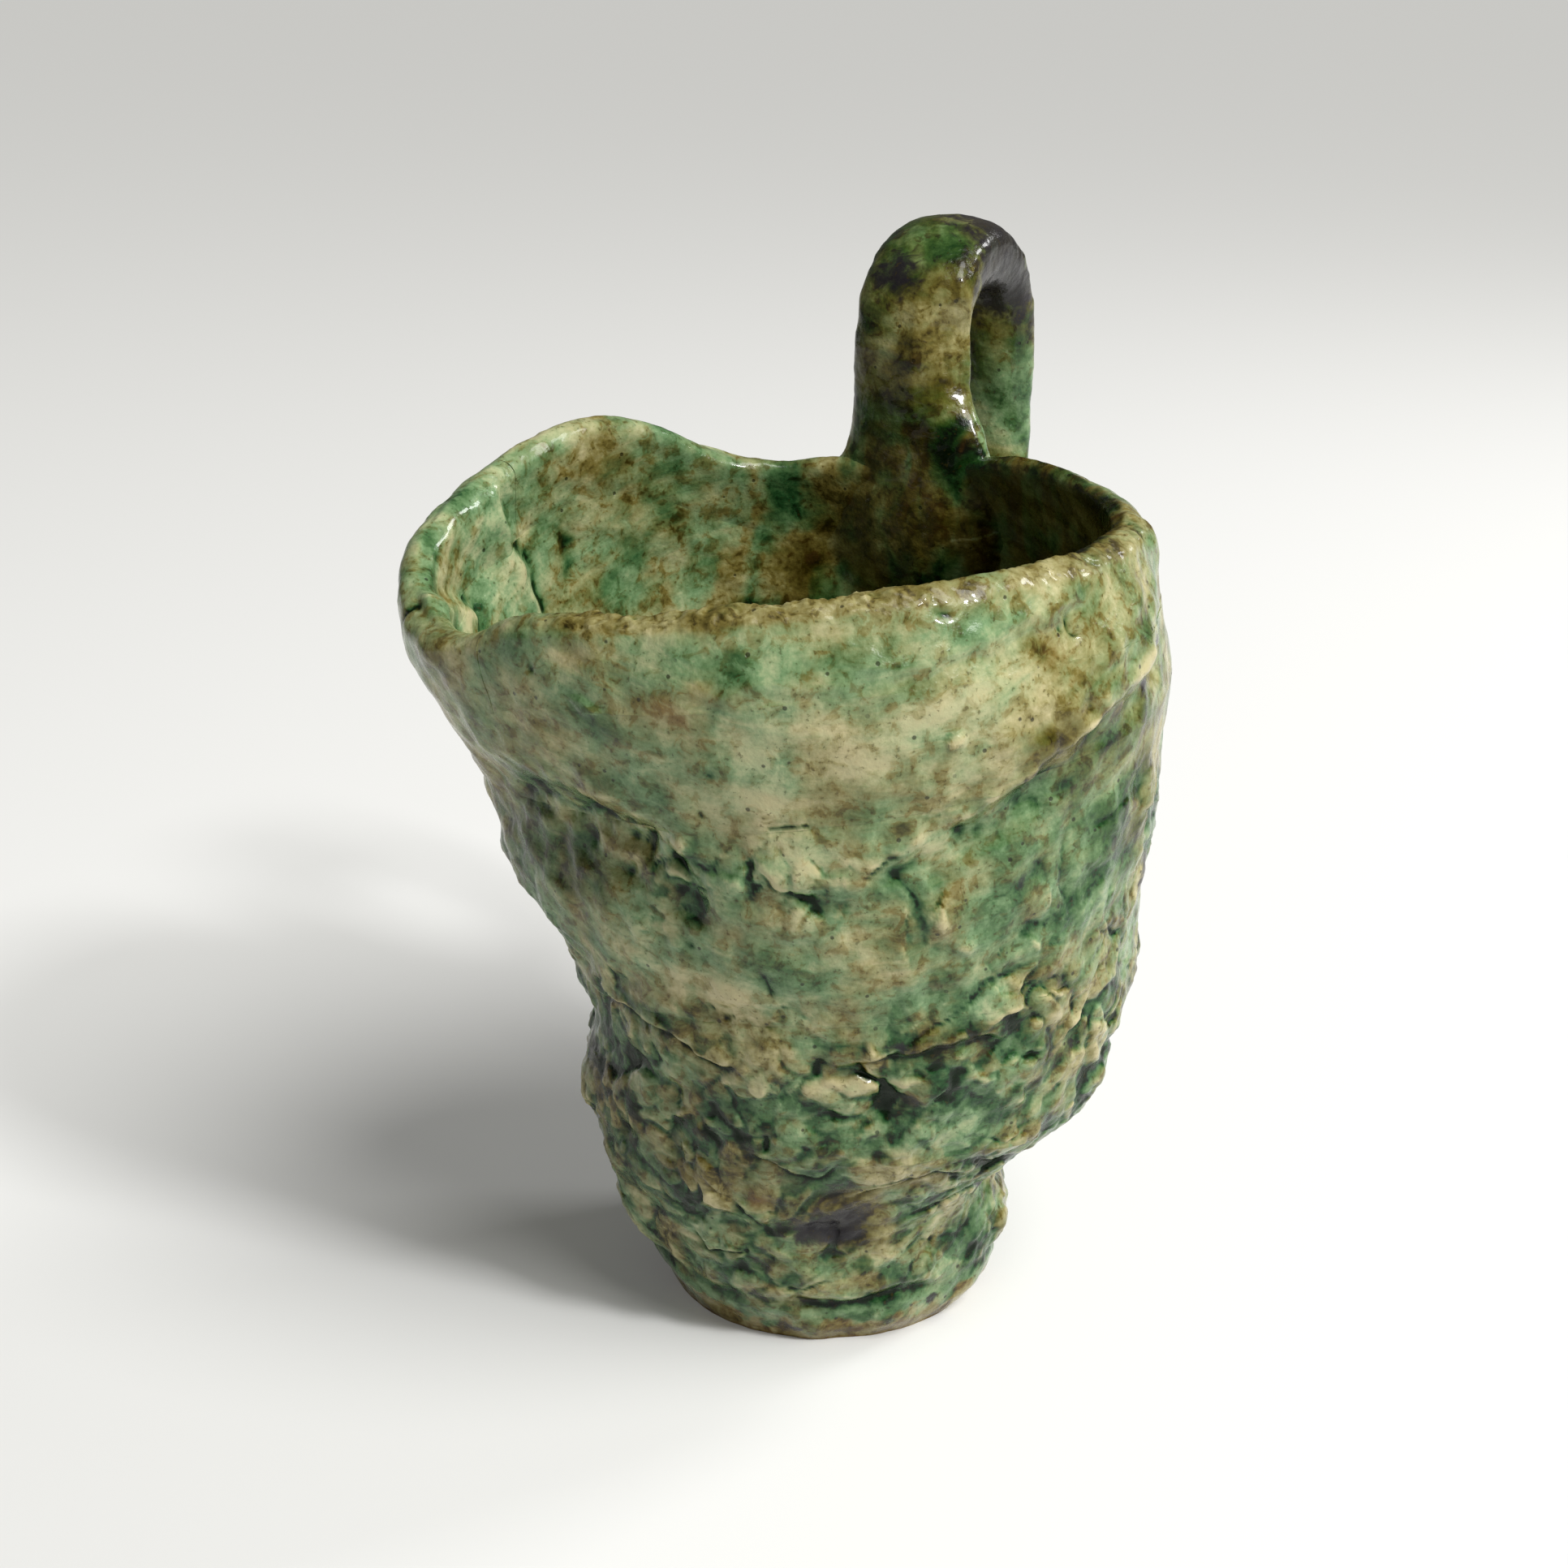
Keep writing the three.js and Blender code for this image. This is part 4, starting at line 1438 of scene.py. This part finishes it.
def unwrap(obj: bpy.types.Object) -> None:
    """Lay the faces out on the map named for baking."""
    obj.data.uv_layers.new(name=BAKE_MAP)
    with editing(obj, "FACE"):
        bpy.ops.mesh.select_all(action="SELECT")
        bpy.ops.uv.smart_project(angle_limit=math.radians(ISLAND_BEND), island_margin=ISLAND_MARGIN)


def split_long_edges(obj: bpy.types.Object, outer: float, inner: float) -> None:
    """Halve the edges that are longer than a limit.

    Args:
        obj: The piece.
        outer: Longest edge left on the outer face, in millimetres.
        inner: Longest edge left on the inner face, in millimetres.
    """
    mesh = obj.data
    pairs = edge_pairs(mesh)
    at = points(mesh)
    depth = read_attribute(mesh, DEPTH)[pairs].mean(axis=1)
    length = np.linalg.norm(at[pairs[:, 0]] - at[pairs[:, 1]], axis=1)
    long = length > np.where(depth > 0.6, inner, outer)
    with editing(obj, "EDGE"):
        bpy.ops.mesh.select_all(action="DESELECT")
        bpy.ops.object.mode_set(mode="OBJECT")
        mesh.edges.foreach_set("select", long)
        bpy.ops.object.mode_set(mode="EDIT")
        bpy.ops.mesh.subdivide(number_cuts=1)


@dataclass
class WallPiece:
    """One piece of the wall, copied from its CAD node, refined and sculpted.

    Attributes:
        node: The CAD node that it stands for.
        slot: The record's material slot.
        crested: Whether its top is an open rim instead of a seam.
        outer_grain: Longest edge on the outer face, in millimetres.
        inner_grain: Longest edge on the inner face, in millimetres.
        overlap: How far a seam is closed, in millimetres.
        tuck: How far an edge at a seam is turned in, in millimetres.
    """

    node: str
    slot: str
    crested: bool = False
    outer_grain: float = 0.95
    inner_grain: float = 1.6
    overlap: float = 0.25
    tuck: float = 0.1

    # How far the triangles of one quad may bend and skew, and the bend of a sharp edge, in degrees
    QUAD_BEND = 40.0
    QUAD_SKEW = 60.0
    SHARP_BEND = 50.0

    def build(self, frame: dict[str, Any], clay: Clay) -> bpy.types.Object:
        """Make the piece.

        Args:
            frame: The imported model.
            clay: How the clay was worked.

        Returns:
            The finished mesh object.
        """
        obj = copy_node(frame["nodes"][self.node], self.node + "_clay")
        with editing(obj, "FACE"):
            bpy.ops.mesh.select_all(action="SELECT")
            bpy.ops.mesh.tris_convert_to_quads(
                face_threshold=math.radians(self.QUAD_BEND), shape_threshold=math.radians(self.QUAD_SKEW)
            )
        self.mark_depth(obj)
        with editing(obj, "EDGE"):
            bpy.ops.mesh.select_all(action="DESELECT")
            bpy.ops.mesh.edges_select_sharp(sharpness=math.radians(self.SHARP_BEND))
            bpy.ops.transform.edge_crease(value=1.0)
            bpy.ops.mesh.mark_sharp()
        unwrap(obj)
        apply_modifier(obj, "SUBSURF", levels=2, render_levels=2)
        for _ in range(2):
            split_long_edges(obj, self.outer_grain, self.inner_grain)
        self.sculpt(obj, clay)
        hold(obj)
        bpy.ops.object.shade_smooth(keep_sharp_edges=True)
        return obj

    def seam_faces(self, sideways: np.ndarray, upward: np.ndarray) -> np.ndarray:
        """Which faces meet another piece of clay.

        Args:
            sideways: Part of each face's normal that points round the axis.
            upward: Part that points up.

        Returns:
            True for each face that is in a seam.
        """
        joined = (upward < -0.7) | (np.abs(sideways) > 0.75)
        if not self.crested:
            joined |= upward > 0.7
        return joined

    def mark_depth(self, obj: bpy.types.Object) -> None:
        """Mark each vertex as outer or inner, and close the seams.

        Args:
            obj: The coarse copy of the CAD node.
        """
        mesh = obj.data
        size = len(mesh.vertices)
        normal, centre = face_vectors(mesh, "normal"), face_vectors(mesh, "center")
        corner, face_of = face_corners(mesh)
        way = centre[:, :2] / np.maximum(np.linalg.norm(centre[:, :2], axis=1, keepdims=True), TINY)
        outward = np.sum(normal[:, :2] * way, axis=1)
        sideways = normal[:, 1] * way[:, 0] - normal[:, 0] * way[:, 1]
        joined = self.seam_faces(sideways, normal[:, 2])[face_of]
        share = ease(0.6, -0.6, outward)[face_of]
        total = np.bincount(corner[~joined], share[~joined], size)
        number = np.bincount(corner[~joined], minlength=size)
        depth = np.where(number > 0, total / np.maximum(number, 1), 1.0)
        write_attribute(mesh, DEPTH, depth)
        push = np.zeros((size, 3))
        faces = np.bincount(corner[joined], minlength=size)
        for axis in range(3):
            pushes = np.bincount(corner[joined], normal[face_of[joined], axis], size)
            push[:, axis] = pushes / np.maximum(faces, 1)
        at = points(mesh)
        tuck = np.where(faces > 0, (2.0 * depth - 1.0) * self.tuck, 0.0)
        at[:, :2] += at[:, :2] / np.maximum(np.hypot(at[:, 0], at[:, 1]), TINY)[:, None] * tuck[:, None]
        set_points(mesh, at + push * self.overlap)

    def dress(self, skin: Skin) -> None:
        """Lay on the stains that only this piece has; most pieces have none."""

    def sculpt(self, obj: bpy.types.Object, clay: Clay) -> None:
        """Work the clay and lay on the stains and the painted shade.

        Args:
            obj: The refined piece.
            clay: How the clay was worked.
        """
        mesh = obj.data
        pairs = edge_pairs(mesh)
        skin = Skin(points(mesh), read_attribute(mesh, DEPTH))
        clay.outside(skin)
        clay.washes(skin)
        clay.foot(skin)
        clay.inside(skin)
        clay.marks(skin)
        clay.crumbs(skin)
        self.dress(skin)
        low, _, _ = clay.zones(skin)
        skin.rise += low * (averaged(skin.rise, pairs, 1) - skin.rise)
        way = np.zeros_like(skin.at)
        way[:, :2] = skin.at[:, :2] / np.maximum(skin.reach, TINY)[:, None]
        way *= (1.0 - 2.0 * skin.depth)[:, None]
        if self.crested:
            normal = normals(mesh)
            up = np.clip(normal[:, 2], 0.0, 1.0)[:, None]
            way = way * (1.0 - up) + normal * up
            clay.crest(skin, normal[:, 2])
        skin.pool(pairs)
        set_points(mesh, skin.at + way * skin.rise[:, None])
        skin.write(mesh)


@dataclass
class FootSlab(WallPiece):
    """The slab that is the floor and the foot; its underside stays flat."""

    def seam_faces(self, sideways: np.ndarray, upward: np.ndarray) -> np.ndarray:
        """Only the upper side of the slab meets another piece."""
        return upward > 0.7

    def dress(self, skin: Skin) -> None:
        """Paint the pot's floor with shade as dark as the inner wall round it, and leave the underside
        bare.

        Args:
            skin: The points of the slab.
        """
        top = ease(9.0, 12.0, skin.height) * ease(38.0, 34.0, skin.reach)
        under = ease(1.2, 0.4, skin.height)
        # Painted shade on the pot's floor
        skin.tint(Tone.OLIVE, 0.7 * top)
        skin.tint(Tone.IRON, 0.3 * top + 0.3 * under)
        skin.tint(Tone.CREAM, 0.5 * under)
        skin.tint(Tone.COPPER, -1.5 * under)
        skin.tint(Tone.GRIT, 1.2 * under)


@dataclass(frozen=True)
class Smear:
    """A wash of one tone round a point in space.

    Attributes:
        tone: What shows there.
        at: The point in millimetres.
        size: How far it spreads, in millimetres.
        strength: How strong it is.
    """

    tone: Tone
    at: Spatial
    size: float
    strength: float = 1.0

    def press(self, skin: Skin) -> None:
        """Add the wash to the glaze."""
        away = np.linalg.norm(skin.at - np.array(self.at), axis=1) / self.size
        skin.tint(self.tone, np.exp(-(away**2)) * self.strength)


HANDLE_SMEARS = (
    # The pale green bevel down the front arm's right edge; the pale slip and the wiped dark glaze there are
    # a painted highlight
    Smear(Tone.OLIVE, (45, 65, 198), 8.0, -0.7),
    Smear(Tone.OLIVE, (45, 66, 212), 8.0, -1.0),
    Smear(Tone.CREAM, (45, 66, 208), 9.0, 0.8),
    Smear(Tone.COPPER, (44, 65, 200), 11.0, 1.2),
    Smear(Tone.COPPER, (44, 66, 214), 9.0, 1.2),
    # The tan face and the green root of the front arm
    Smear(Tone.IRON, (20, 55, 212), 12.0, 0.5),
    Smear(Tone.OLIVE, (26, 57, 213), 11.0, -0.5),
    Smear(Tone.OLIVE, (24, 56, 198), 12.0, 0.3),
    Smear(Tone.COPPER, (12, 58, 192), 10.0, 0.9),
    Smear(Tone.COPPER, (26, 56, 190), 12.0, 0.8),
    Smear(Tone.COPPER, (46, 64, 191), 9.0, 0.8),
    Smear(Tone.OLIVE, (46, 64, 190), 8.0, -0.4),
    # Manganese and a green patch on the arch
    Smear(Tone.SLATE, (45, 72, 226), 10.0, 1.3),
    Smear(Tone.SLATE, (16, 62, 229), 9.0, 0.9),
    Smear(Tone.SLATE, (38, 82, 231), 14.0, 1.4),
    Smear(Tone.SLATE, (46, 92, 220), 9.0, 0.9),
    Smear(Tone.COPPER, (25, 66, 237), 9.0, 1.2),
    # The green rear arm
    Smear(Tone.COPPER, (51, 96, 196), 12.0, 1.2),
    Smear(Tone.OLIVE, (51, 96, 190), 16.0, -0.5),
)


@dataclass
class Handle:
    """The strap and its two pads, smeared into the wall as one piece of clay.

    Attributes:
        nodes: The CAD nodes that it stands for.
        slot: The record's material slot.
        swell: How far each copy swells, so that the copies overlap, in millimetres.
        voxel: Grain of the joined clay, in millimetres.
        rubs: How often the joined clay is rubbed smooth.
        grain: Longest edge of the finished clay, in millimetres.
        hidden_grain: Longest edge inside the wall, in millimetres.
        room: How far the wall that it is smeared into reaches past the pads, in millimetres.
        sink: How far the smear's edge sinks into the wall, in millimetres.
        heading: Which way the strap loops, in degrees anticlockwise from +X.
        arch: Radius of the middle line of the strap's arch, in millimetres.
        crown: How far the top of the arch is above the arch's centre, in millimetres.
        arm_wad: How much thicker the front arm is on the loop's inside, in millimetres.
        arch_wad: How much thicker still the arch is, in millimetres.
        bevel_from: Where the front arm's bevel starts, right of its middle, in millimetres.
        bevel_slope: How steeply the bevel falls back.
        root_spread: How far the front arm's root spreads to the right, in millimetres.
    """

    nodes: tuple[str, ...] = ("handle_strap", "handle_upper_pad", "handle_lower_pad")
    slot: str = "glaze_dark"
    swell: float = 0.3
    voxel: float = 1.7
    rubs: int = 14
    grain: float = 0.8
    hidden_grain: float = 9.0
    room: float = 9.0
    sink: float = 0.5
    heading: float = 62.0
    arch: float = 23.0
    crown: float = 28.5
    arm_wad: float = 3.5
    arch_wad: float = 3.5
    bevel_from: float = 4.0
    bevel_slope: float = 0.7
    root_spread: float = 6.0

    # How far the wall is looked for, and how near to a seam and how level the faces inside it are
    FARTHEST = 16.0
    SEAM_REACH = 1.5
    SEAM_TILT = 0.8

    # Heights over which the wad, the bevel and the spread root start and end
    WAD_FROM = (184.0, 200.0)
    BEVEL_FOOT = (184.0, 216.0)
    BEVEL_TOP = (232.0, 216.0)
    ROOT_FOOT = (178.0, 185.0)
    ROOT_TOP = (204.0, 186.0)

    # Places across the loop and along it over which they start and end, from the middle of the arch
    HALF_STRAP = 14.0
    STRAP_EDGE = (20.0, 15.0)
    BEVEL_FACE = (-15.0, -27.0)
    ROOT_BACK = (-8.0, -18.0)
    ROOT_FRONT = (-46.0, -38.0)

    def build(
        self, frame: dict[str, Any], clay: Clay, wall: Sequence[bpy.types.Object]
    ) -> bpy.types.Object:
        """Make the handle.

        Args:
            frame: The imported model.
            clay: How the clay was worked.
            wall: The finished wall pieces that it is smeared into.

        Returns:
            The finished mesh object.
        """
        parts = [copy_node(frame["nodes"][node], node + "_clay") for node in self.nodes]
        for part in parts:
            with editing(part):
                bpy.ops.mesh.select_all(action="SELECT")
                bpy.ops.transform.shrink_fatten(value=self.swell * MM)
        self.thicken(parts[0].data)
        patches = [self.patch(piece) for piece in wall]
        surface = self.surface(patches)
        obj = parts[0]
        hold(obj, *parts[1:], *patches)
        bpy.ops.object.join()
        obj.name = "handle_clay"
        for name in [layer.name for layer in obj.data.attributes if not layer.is_required]:
            if name in obj.data.attributes:
                obj.data.attributes.remove(obj.data.attributes[name])
        apply_modifier(obj, "REMESH", mode="VOXEL", voxel_size=self.voxel * MM)
        apply_modifier(obj, "SMOOTH", factor=0.5, iterations=self.rubs)
        unwrap(obj)
        apply_modifier(obj, "SUBSURF", levels=1, render_levels=1)
        self.pare(obj.data)
        clear = self.clearance(obj, surface)
        write_attribute(obj.data, DEPTH, 1.0 - ease(-0.4, 0.0, clear[:, 3]))
        split_long_edges(obj, self.grain, self.hidden_grain)
        self.sculpt(obj, clay, surface)
        hold(obj)
        bpy.ops.object.shade_smooth()
        return obj

    def measured(self, at: np.ndarray, way: np.ndarray) -> np.ndarray:
        """How far each point is from the middle of the arch along a level direction.

        Args:
            at: Points in millimetres.
            way: The direction.

        Returns:
            Lengths in millimetres.
        """
        line = at @ way
        upper = line[at[:, 2] > at[:, 2].max() - self.crown]
        return line - 0.5 * (upper.min() + upper.max())

    def thicken(self, mesh: bpy.types.Mesh) -> None:
        """Press more clay onto the inside of the loop, most on the arch and least on the rear arm.

        Args:
            mesh: The strap.
        """
        at = points(mesh)
        turn = math.radians(self.heading)
        way = np.array([math.cos(turn), math.sin(turn), 0.0])
        reach = self.measured(at, way)
        lift = np.clip(at[:, 2] - at[:, 2].max() + self.crown, 0.0, None)
        far = np.maximum(np.hypot(reach, lift), TINY)
        wad = self.arm_wad * (1.0 - 0.5 * ease(-5.0, 15.0, reach)) + self.arch_wad * ease(4.0, 20.0, lift)
        wad = wad * ease(self.arch + 1.0, self.arch - 3.0, far) * ease(*self.WAD_FROM, at[:, 2])
        at -= (wad * reach / far)[:, None] * way
        at[:, 2] -= wad * lift / far
        set_points(mesh, at)

    def pare(self, mesh: bpy.types.Mesh) -> None:
        """Pare the front arm's right edge to a bevel, and spread its root to the right.

        Args:
            mesh: The joined clay.
        """
        at = points(mesh)
        height = at[:, 2]
        turn = math.radians(self.heading)
        way = np.array([math.cos(turn), math.sin(turn), 0.0])
        side = np.array([math.sin(turn), -math.cos(turn), 0.0])
        across, reach = self.measured(at, side), self.measured(at, way)
        strap = ease(*self.STRAP_EDGE, across)
        cut = self.bevel_slope * np.clip(across - self.bevel_from, 0.0, None)
        cut = cut * ease(*self.BEVEL_FACE, reach) * strap
        cut = cut * ease(*self.BEVEL_FOOT, height) * ease(*self.BEVEL_TOP, height)
        spread = self.root_spread * np.clip(across / self.HALF_STRAP, 0.0, 1.0) * strap
        spread = spread * ease(*self.ROOT_BACK, reach) * ease(*self.ROOT_FRONT, reach)
        spread = spread * ease(*self.ROOT_TOP, height) * ease(*self.ROOT_FOOT, height)
        set_points(mesh, at + cut[:, None] * way + spread[:, None] * side)

    def patch(self, piece: bpy.types.Object) -> bpy.types.Object:
        """Cut the stretch of wall round the pads out of a copy of a wall piece.

        Args:
            piece: The wall piece.

        Returns:
            The cut copy.
        """
        corners = [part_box(node) for node in self.nodes[1:]]
        low = [min(lo[axis] for lo, _ in corners) - self.room * MM for axis in range(3)]
        high = [max(hi[axis] for _, hi in corners) + self.room * MM for axis in range(3)]
        copy = bpy.data.objects.new(piece.name + "_patch", piece.data.copy())
        bpy.context.scene.collection.objects.link(copy)
        with editing(copy):
            for axis, end in itertools.product(range(3), (-1.0, 1.0)):
                side = [0.0, 0.0, 0.0]
                side[axis] = end
                bpy.ops.mesh.select_all(action="SELECT")
                corner = high if end > 0.0 else low
                bpy.ops.mesh.bisect(plane_co=corner, plane_no=side, use_fill=True, clear_outer=True)
        return copy

    @classmethod
    def surface(cls, patches: Sequence[bpy.types.Object]) -> BVHTree:
        """The faces of the patches, ready for distances to be measured to them.

        Args:
            patches: The stretches of wall.

        Returns:
            Their faces without those inside the seams.
        """
        verts: list[Vector] = []
        faces: list[list[int]] = []
        for patch in patches:
            start = len(verts)
            verts.extend(vert.co.copy() for vert in patch.data.vertices)
            for face in patch.data.polygons:
                gap = min(abs(face.center.z / MM - seam) for seam in SEAM_HEIGHTS)
                if gap > cls.SEAM_REACH or abs(face.normal.z) < cls.SEAM_TILT:
                    faces.append([start + corner for corner in face.vertices])
        return BVHTree.FromPolygons(verts, faces)

    @classmethod
    def clearance(cls, obj: bpy.types.Object, surface: BVHTree) -> np.ndarray:
        """How far each vertex stands off the wall.

        Args:
            obj: The handle.
            surface: The wall's faces.

        Returns:
            For each vertex the way off the wall and the distance in millimetres, which is less than 0
            inside the wall.
        """
        rows = np.zeros((len(obj.data.vertices), 4))
        rows[:, 3] = cls.FARTHEST
        for row, vert in zip(rows, obj.data.vertices):
            near, way, _, gap = surface.find_nearest(vert.co, cls.FARTHEST * MM)
            if near is not None:
                row[:3] = way
                row[3] = math.copysign(gap / MM, (vert.co - near).dot(way))
        return rows

    def sculpt(self, obj: bpy.types.Object, clay: Clay, surface: BVHTree) -> None:
        """Work the strap, sink the smear's edge into the wall and lay on the stains, with painted shade
        where it meets the inner face and a painted highlight on the bevel.

        Args:
            obj: The handle.
            clay: How the clay was worked.
            surface: The wall's faces.
        """
        mesh = obj.data
        normal = normals(mesh)
        at = points(mesh)
        clear = self.clearance(obj, surface)
        free = ease(1.0, 5.0, clear[:, 3])
        skin = Skin(at, np.zeros(len(at)))
        inward = -np.sum(clear[:, :2] * at[:, :2], axis=1) / np.maximum(skin.reach, TINY)
        away = ease(4.5, 15.0, clear[:, 3])
        skin.depth = ease(-0.2, 0.2, inward) * (1.0 - away)
        drawn = at * np.array([1.0, 0.35, 0.35])
        skin.rise += free * 0.7 * clay.grain.soft(at, 15.0, 51)
        skin.rise += free * 0.3 * clay.grain.soft(drawn, 5.0, 52)
        skin.rise += free * 0.12 * clay.grain.rough(at, 3.0, 53, 2)
        clay.washes(skin)
        # Painted shade where the clay meets the inner face
        clay.shade_and_drips(skin)
        skin.tint(Tone.OLIVE, 0.75 * away)
        for smear in HANDLE_SMEARS:
            smear.press(skin)
        sunk = self.sink * (1.0 - ease(0.2, 1.6, clear[:, 3]))
        set_points(mesh, at + normal * skin.rise[:, None] - clear[:, :3] * sunk[:, None])
        skin.write(mesh)


class Studio:
    """Pale floor, soft light and the photograph's camera; places are in metres."""

    CAMERA_AT = (-0.010, -0.480, 0.300)
    CAMERA_PITCH = 20.2
    FOCAL_PIXELS = 2800.0
    FRAME_PIXELS = 1932.0
    SENSOR = 36.0
    NEAREST = 0.01
    FLOOR_SIDE = 40.0
    FLOOR_COLOR = (0.66, 0.66, 0.65, 1.0)
    FLOOR_GLOW = (1.0, 1.0, 0.98, 1.0)
    FLOOR_GLOW_STRENGTH = 0.07
    SUN_AT = (0.4, -0.3, 0.85)
    SUN_COLOR = (1.0, 0.995, 0.97)
    SUN_STRENGTH = 2.5
    SUN_SPREAD = 34.0
    SKY_COLOR = (1.0, 0.985, 0.93, 1.0)
    SKY_STRENGTH = 0.12
    MIDDLE = (0.0, 0.0, 0.12)

    def floor(self) -> None:
        """Lay a wide pale floor."""
        bpy.ops.object.select_all(action="DESELECT")
        bpy.ops.mesh.primitive_plane_add(size=self.FLOOR_SIDE, location=(0.0, 0.0, 0.0))
        floor = bpy.context.active_object
        floor.name = "floor"
        bench = GlazeBench("floor_paint")
        values = {
            "Base Color": self.FLOOR_COLOR,
            "Roughness": 0.9,
            "Emission Color": self.FLOOR_GLOW,
            "Emission Strength": self.FLOOR_GLOW_STRENGTH,
        }
        bench.finish(bench.node("ShaderNodeBsdfPrincipled", {}, values))
        floor.data.materials.append(bench.material)

    @staticmethod
    def hang(data: bpy.types.Light, at: Spatial, aim: Spatial) -> None:
        """Hang a light so that it faces a place.

        Args:
            data: The light.
            at: Where it hangs.
            aim: What it faces.
        """
        lamp = bpy.data.objects.new(data.name, data)
        bpy.context.scene.collection.objects.link(lamp)
        lamp.location = at
        lamp.rotation_mode = "QUATERNION"
        lamp.rotation_quaternion = (Vector(aim) - Vector(at)).to_track_quat("-Z", "Y")

    def light(self, name: str, at: Spatial, size: float, watts: float) -> None:
        """Hang one square soft light that faces the pot.

        Args:
            name: The light's name.
            at: Where it hangs.
            size: Its side.
            watts: Its power.
        """
        data = bpy.data.lights.new(name, "AREA")
        data.size = size
        data.energy = watts
        self.hang(data, at, self.MIDDLE)

    def sun(self) -> None:
        """Hang the broad soft light from the upper right that also whitens the far floor."""
        data = bpy.data.lights.new("broad", "SUN")
        data.energy = self.SUN_STRENGTH
        data.color = self.SUN_COLOR
        data.angle = math.radians(self.SUN_SPREAD)
        self.hang(data, self.SUN_AT, (0.0, 0.0, 0.0))

    def sky(self) -> None:
        """Surround the pot with faint even light."""
        world = bpy.data.worlds.new("room")
        bpy.context.scene.world = world
        world.use_nodes = True
        sky = world.node_tree.nodes["Background"]
        sky.inputs["Color"].default_value = self.SKY_COLOR
        sky.inputs["Strength"].default_value = self.SKY_STRENGTH

    def camera(self) -> None:
        """Stand the camera where the photograph was taken from."""
        camera = bpy.data.cameras.new("photo_view")
        camera.sensor_width = self.SENSOR
        camera.lens = self.FOCAL_PIXELS / self.FRAME_PIXELS * self.SENSOR
        camera.clip_start = self.NEAREST
        stand = bpy.data.objects.new("photo_view", camera)
        bpy.context.scene.collection.objects.link(stand)
        stand.location = self.CAMERA_AT
        stand.rotation_euler = (math.radians(90.0 - self.CAMERA_PITCH), 0.0, 0.0)
        bpy.context.scene.camera = stand

    def build(self) -> None:
        """Set up floor, lights, surroundings and camera."""
        self.floor()
        self.sun()
        self.light("window", (1.4, -1.1, 1.7), 0.32, 36.0)
        self.light("side", (1.2, 0.55, 1.0), 0.34, 8.0)
        self.sky()
        self.camera()
        bpy.context.scene.view_settings.view_transform = "Standard"


WALL = (
    FootSlab("foot_slab", "glaze_moss"),
    WallPiece("foot_course", "glaze_green", outer_grain=0.62),
    WallPiece("lower_course", "glaze_green", outer_grain=0.73),
    WallPiece("belly_course", "glaze_pale", inner_grain=2.4),
    WallPiece("shoulder_course", "glaze_pale", outer_grain=0.75, inner_grain=1.2),
    WallPiece("rim_coil", "glaze_moss", crested=True, outer_grain=0.75, inner_grain=0.95),
    WallPiece("pouring_lip", "glaze_green", crested=True, outer_grain=0.75, inner_grain=0.75),
)


def settle(obj: bpy.types.Object, finish: bpy.types.Material, slot: str, *nodes: str) -> None:
    """Glaze a finished piece, put it on its body in place of its CAD nodes, and report it.

    Args:
        obj: The piece.
        finish: Its material.
        slot: The record's material slot; not used.
        nodes: The CAD nodes that it stands for.
    """
    obj.data.materials.clear()
    obj.data.materials.append(finish)
    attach(obj, BODY)
    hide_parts(*nodes)
    log.info("%s: %d faces in place of %s", obj.name, len(obj.data.polygons), ", ".join(nodes))


def main() -> None:
    """Build every piece in order and report it."""
    logging.basicConfig(level=logging.INFO, format="%(message)s")
    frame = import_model()
    clay = Clay(Grain(SEED))
    slots = ("glaze_pale", "glaze_green", "glaze_moss", "glaze_dark")
    glazes = {slot: Glaze(slot).make() for slot in slots}
    wall = {}
    for piece in WALL:
        obj = piece.build(frame, clay)
        settle(obj, glazes[piece.slot], piece.slot, piece.node)
        wall[piece.node] = obj
    handle = Handle()
    behind = [wall[node] for node in ("belly_course", "shoulder_course", "rim_coil")]
    settle(handle.build(frame, clay, behind), glazes[handle.slot], handle.slot, *handle.nodes)
    Studio().build()


if __name__ == "__main__":
    main()
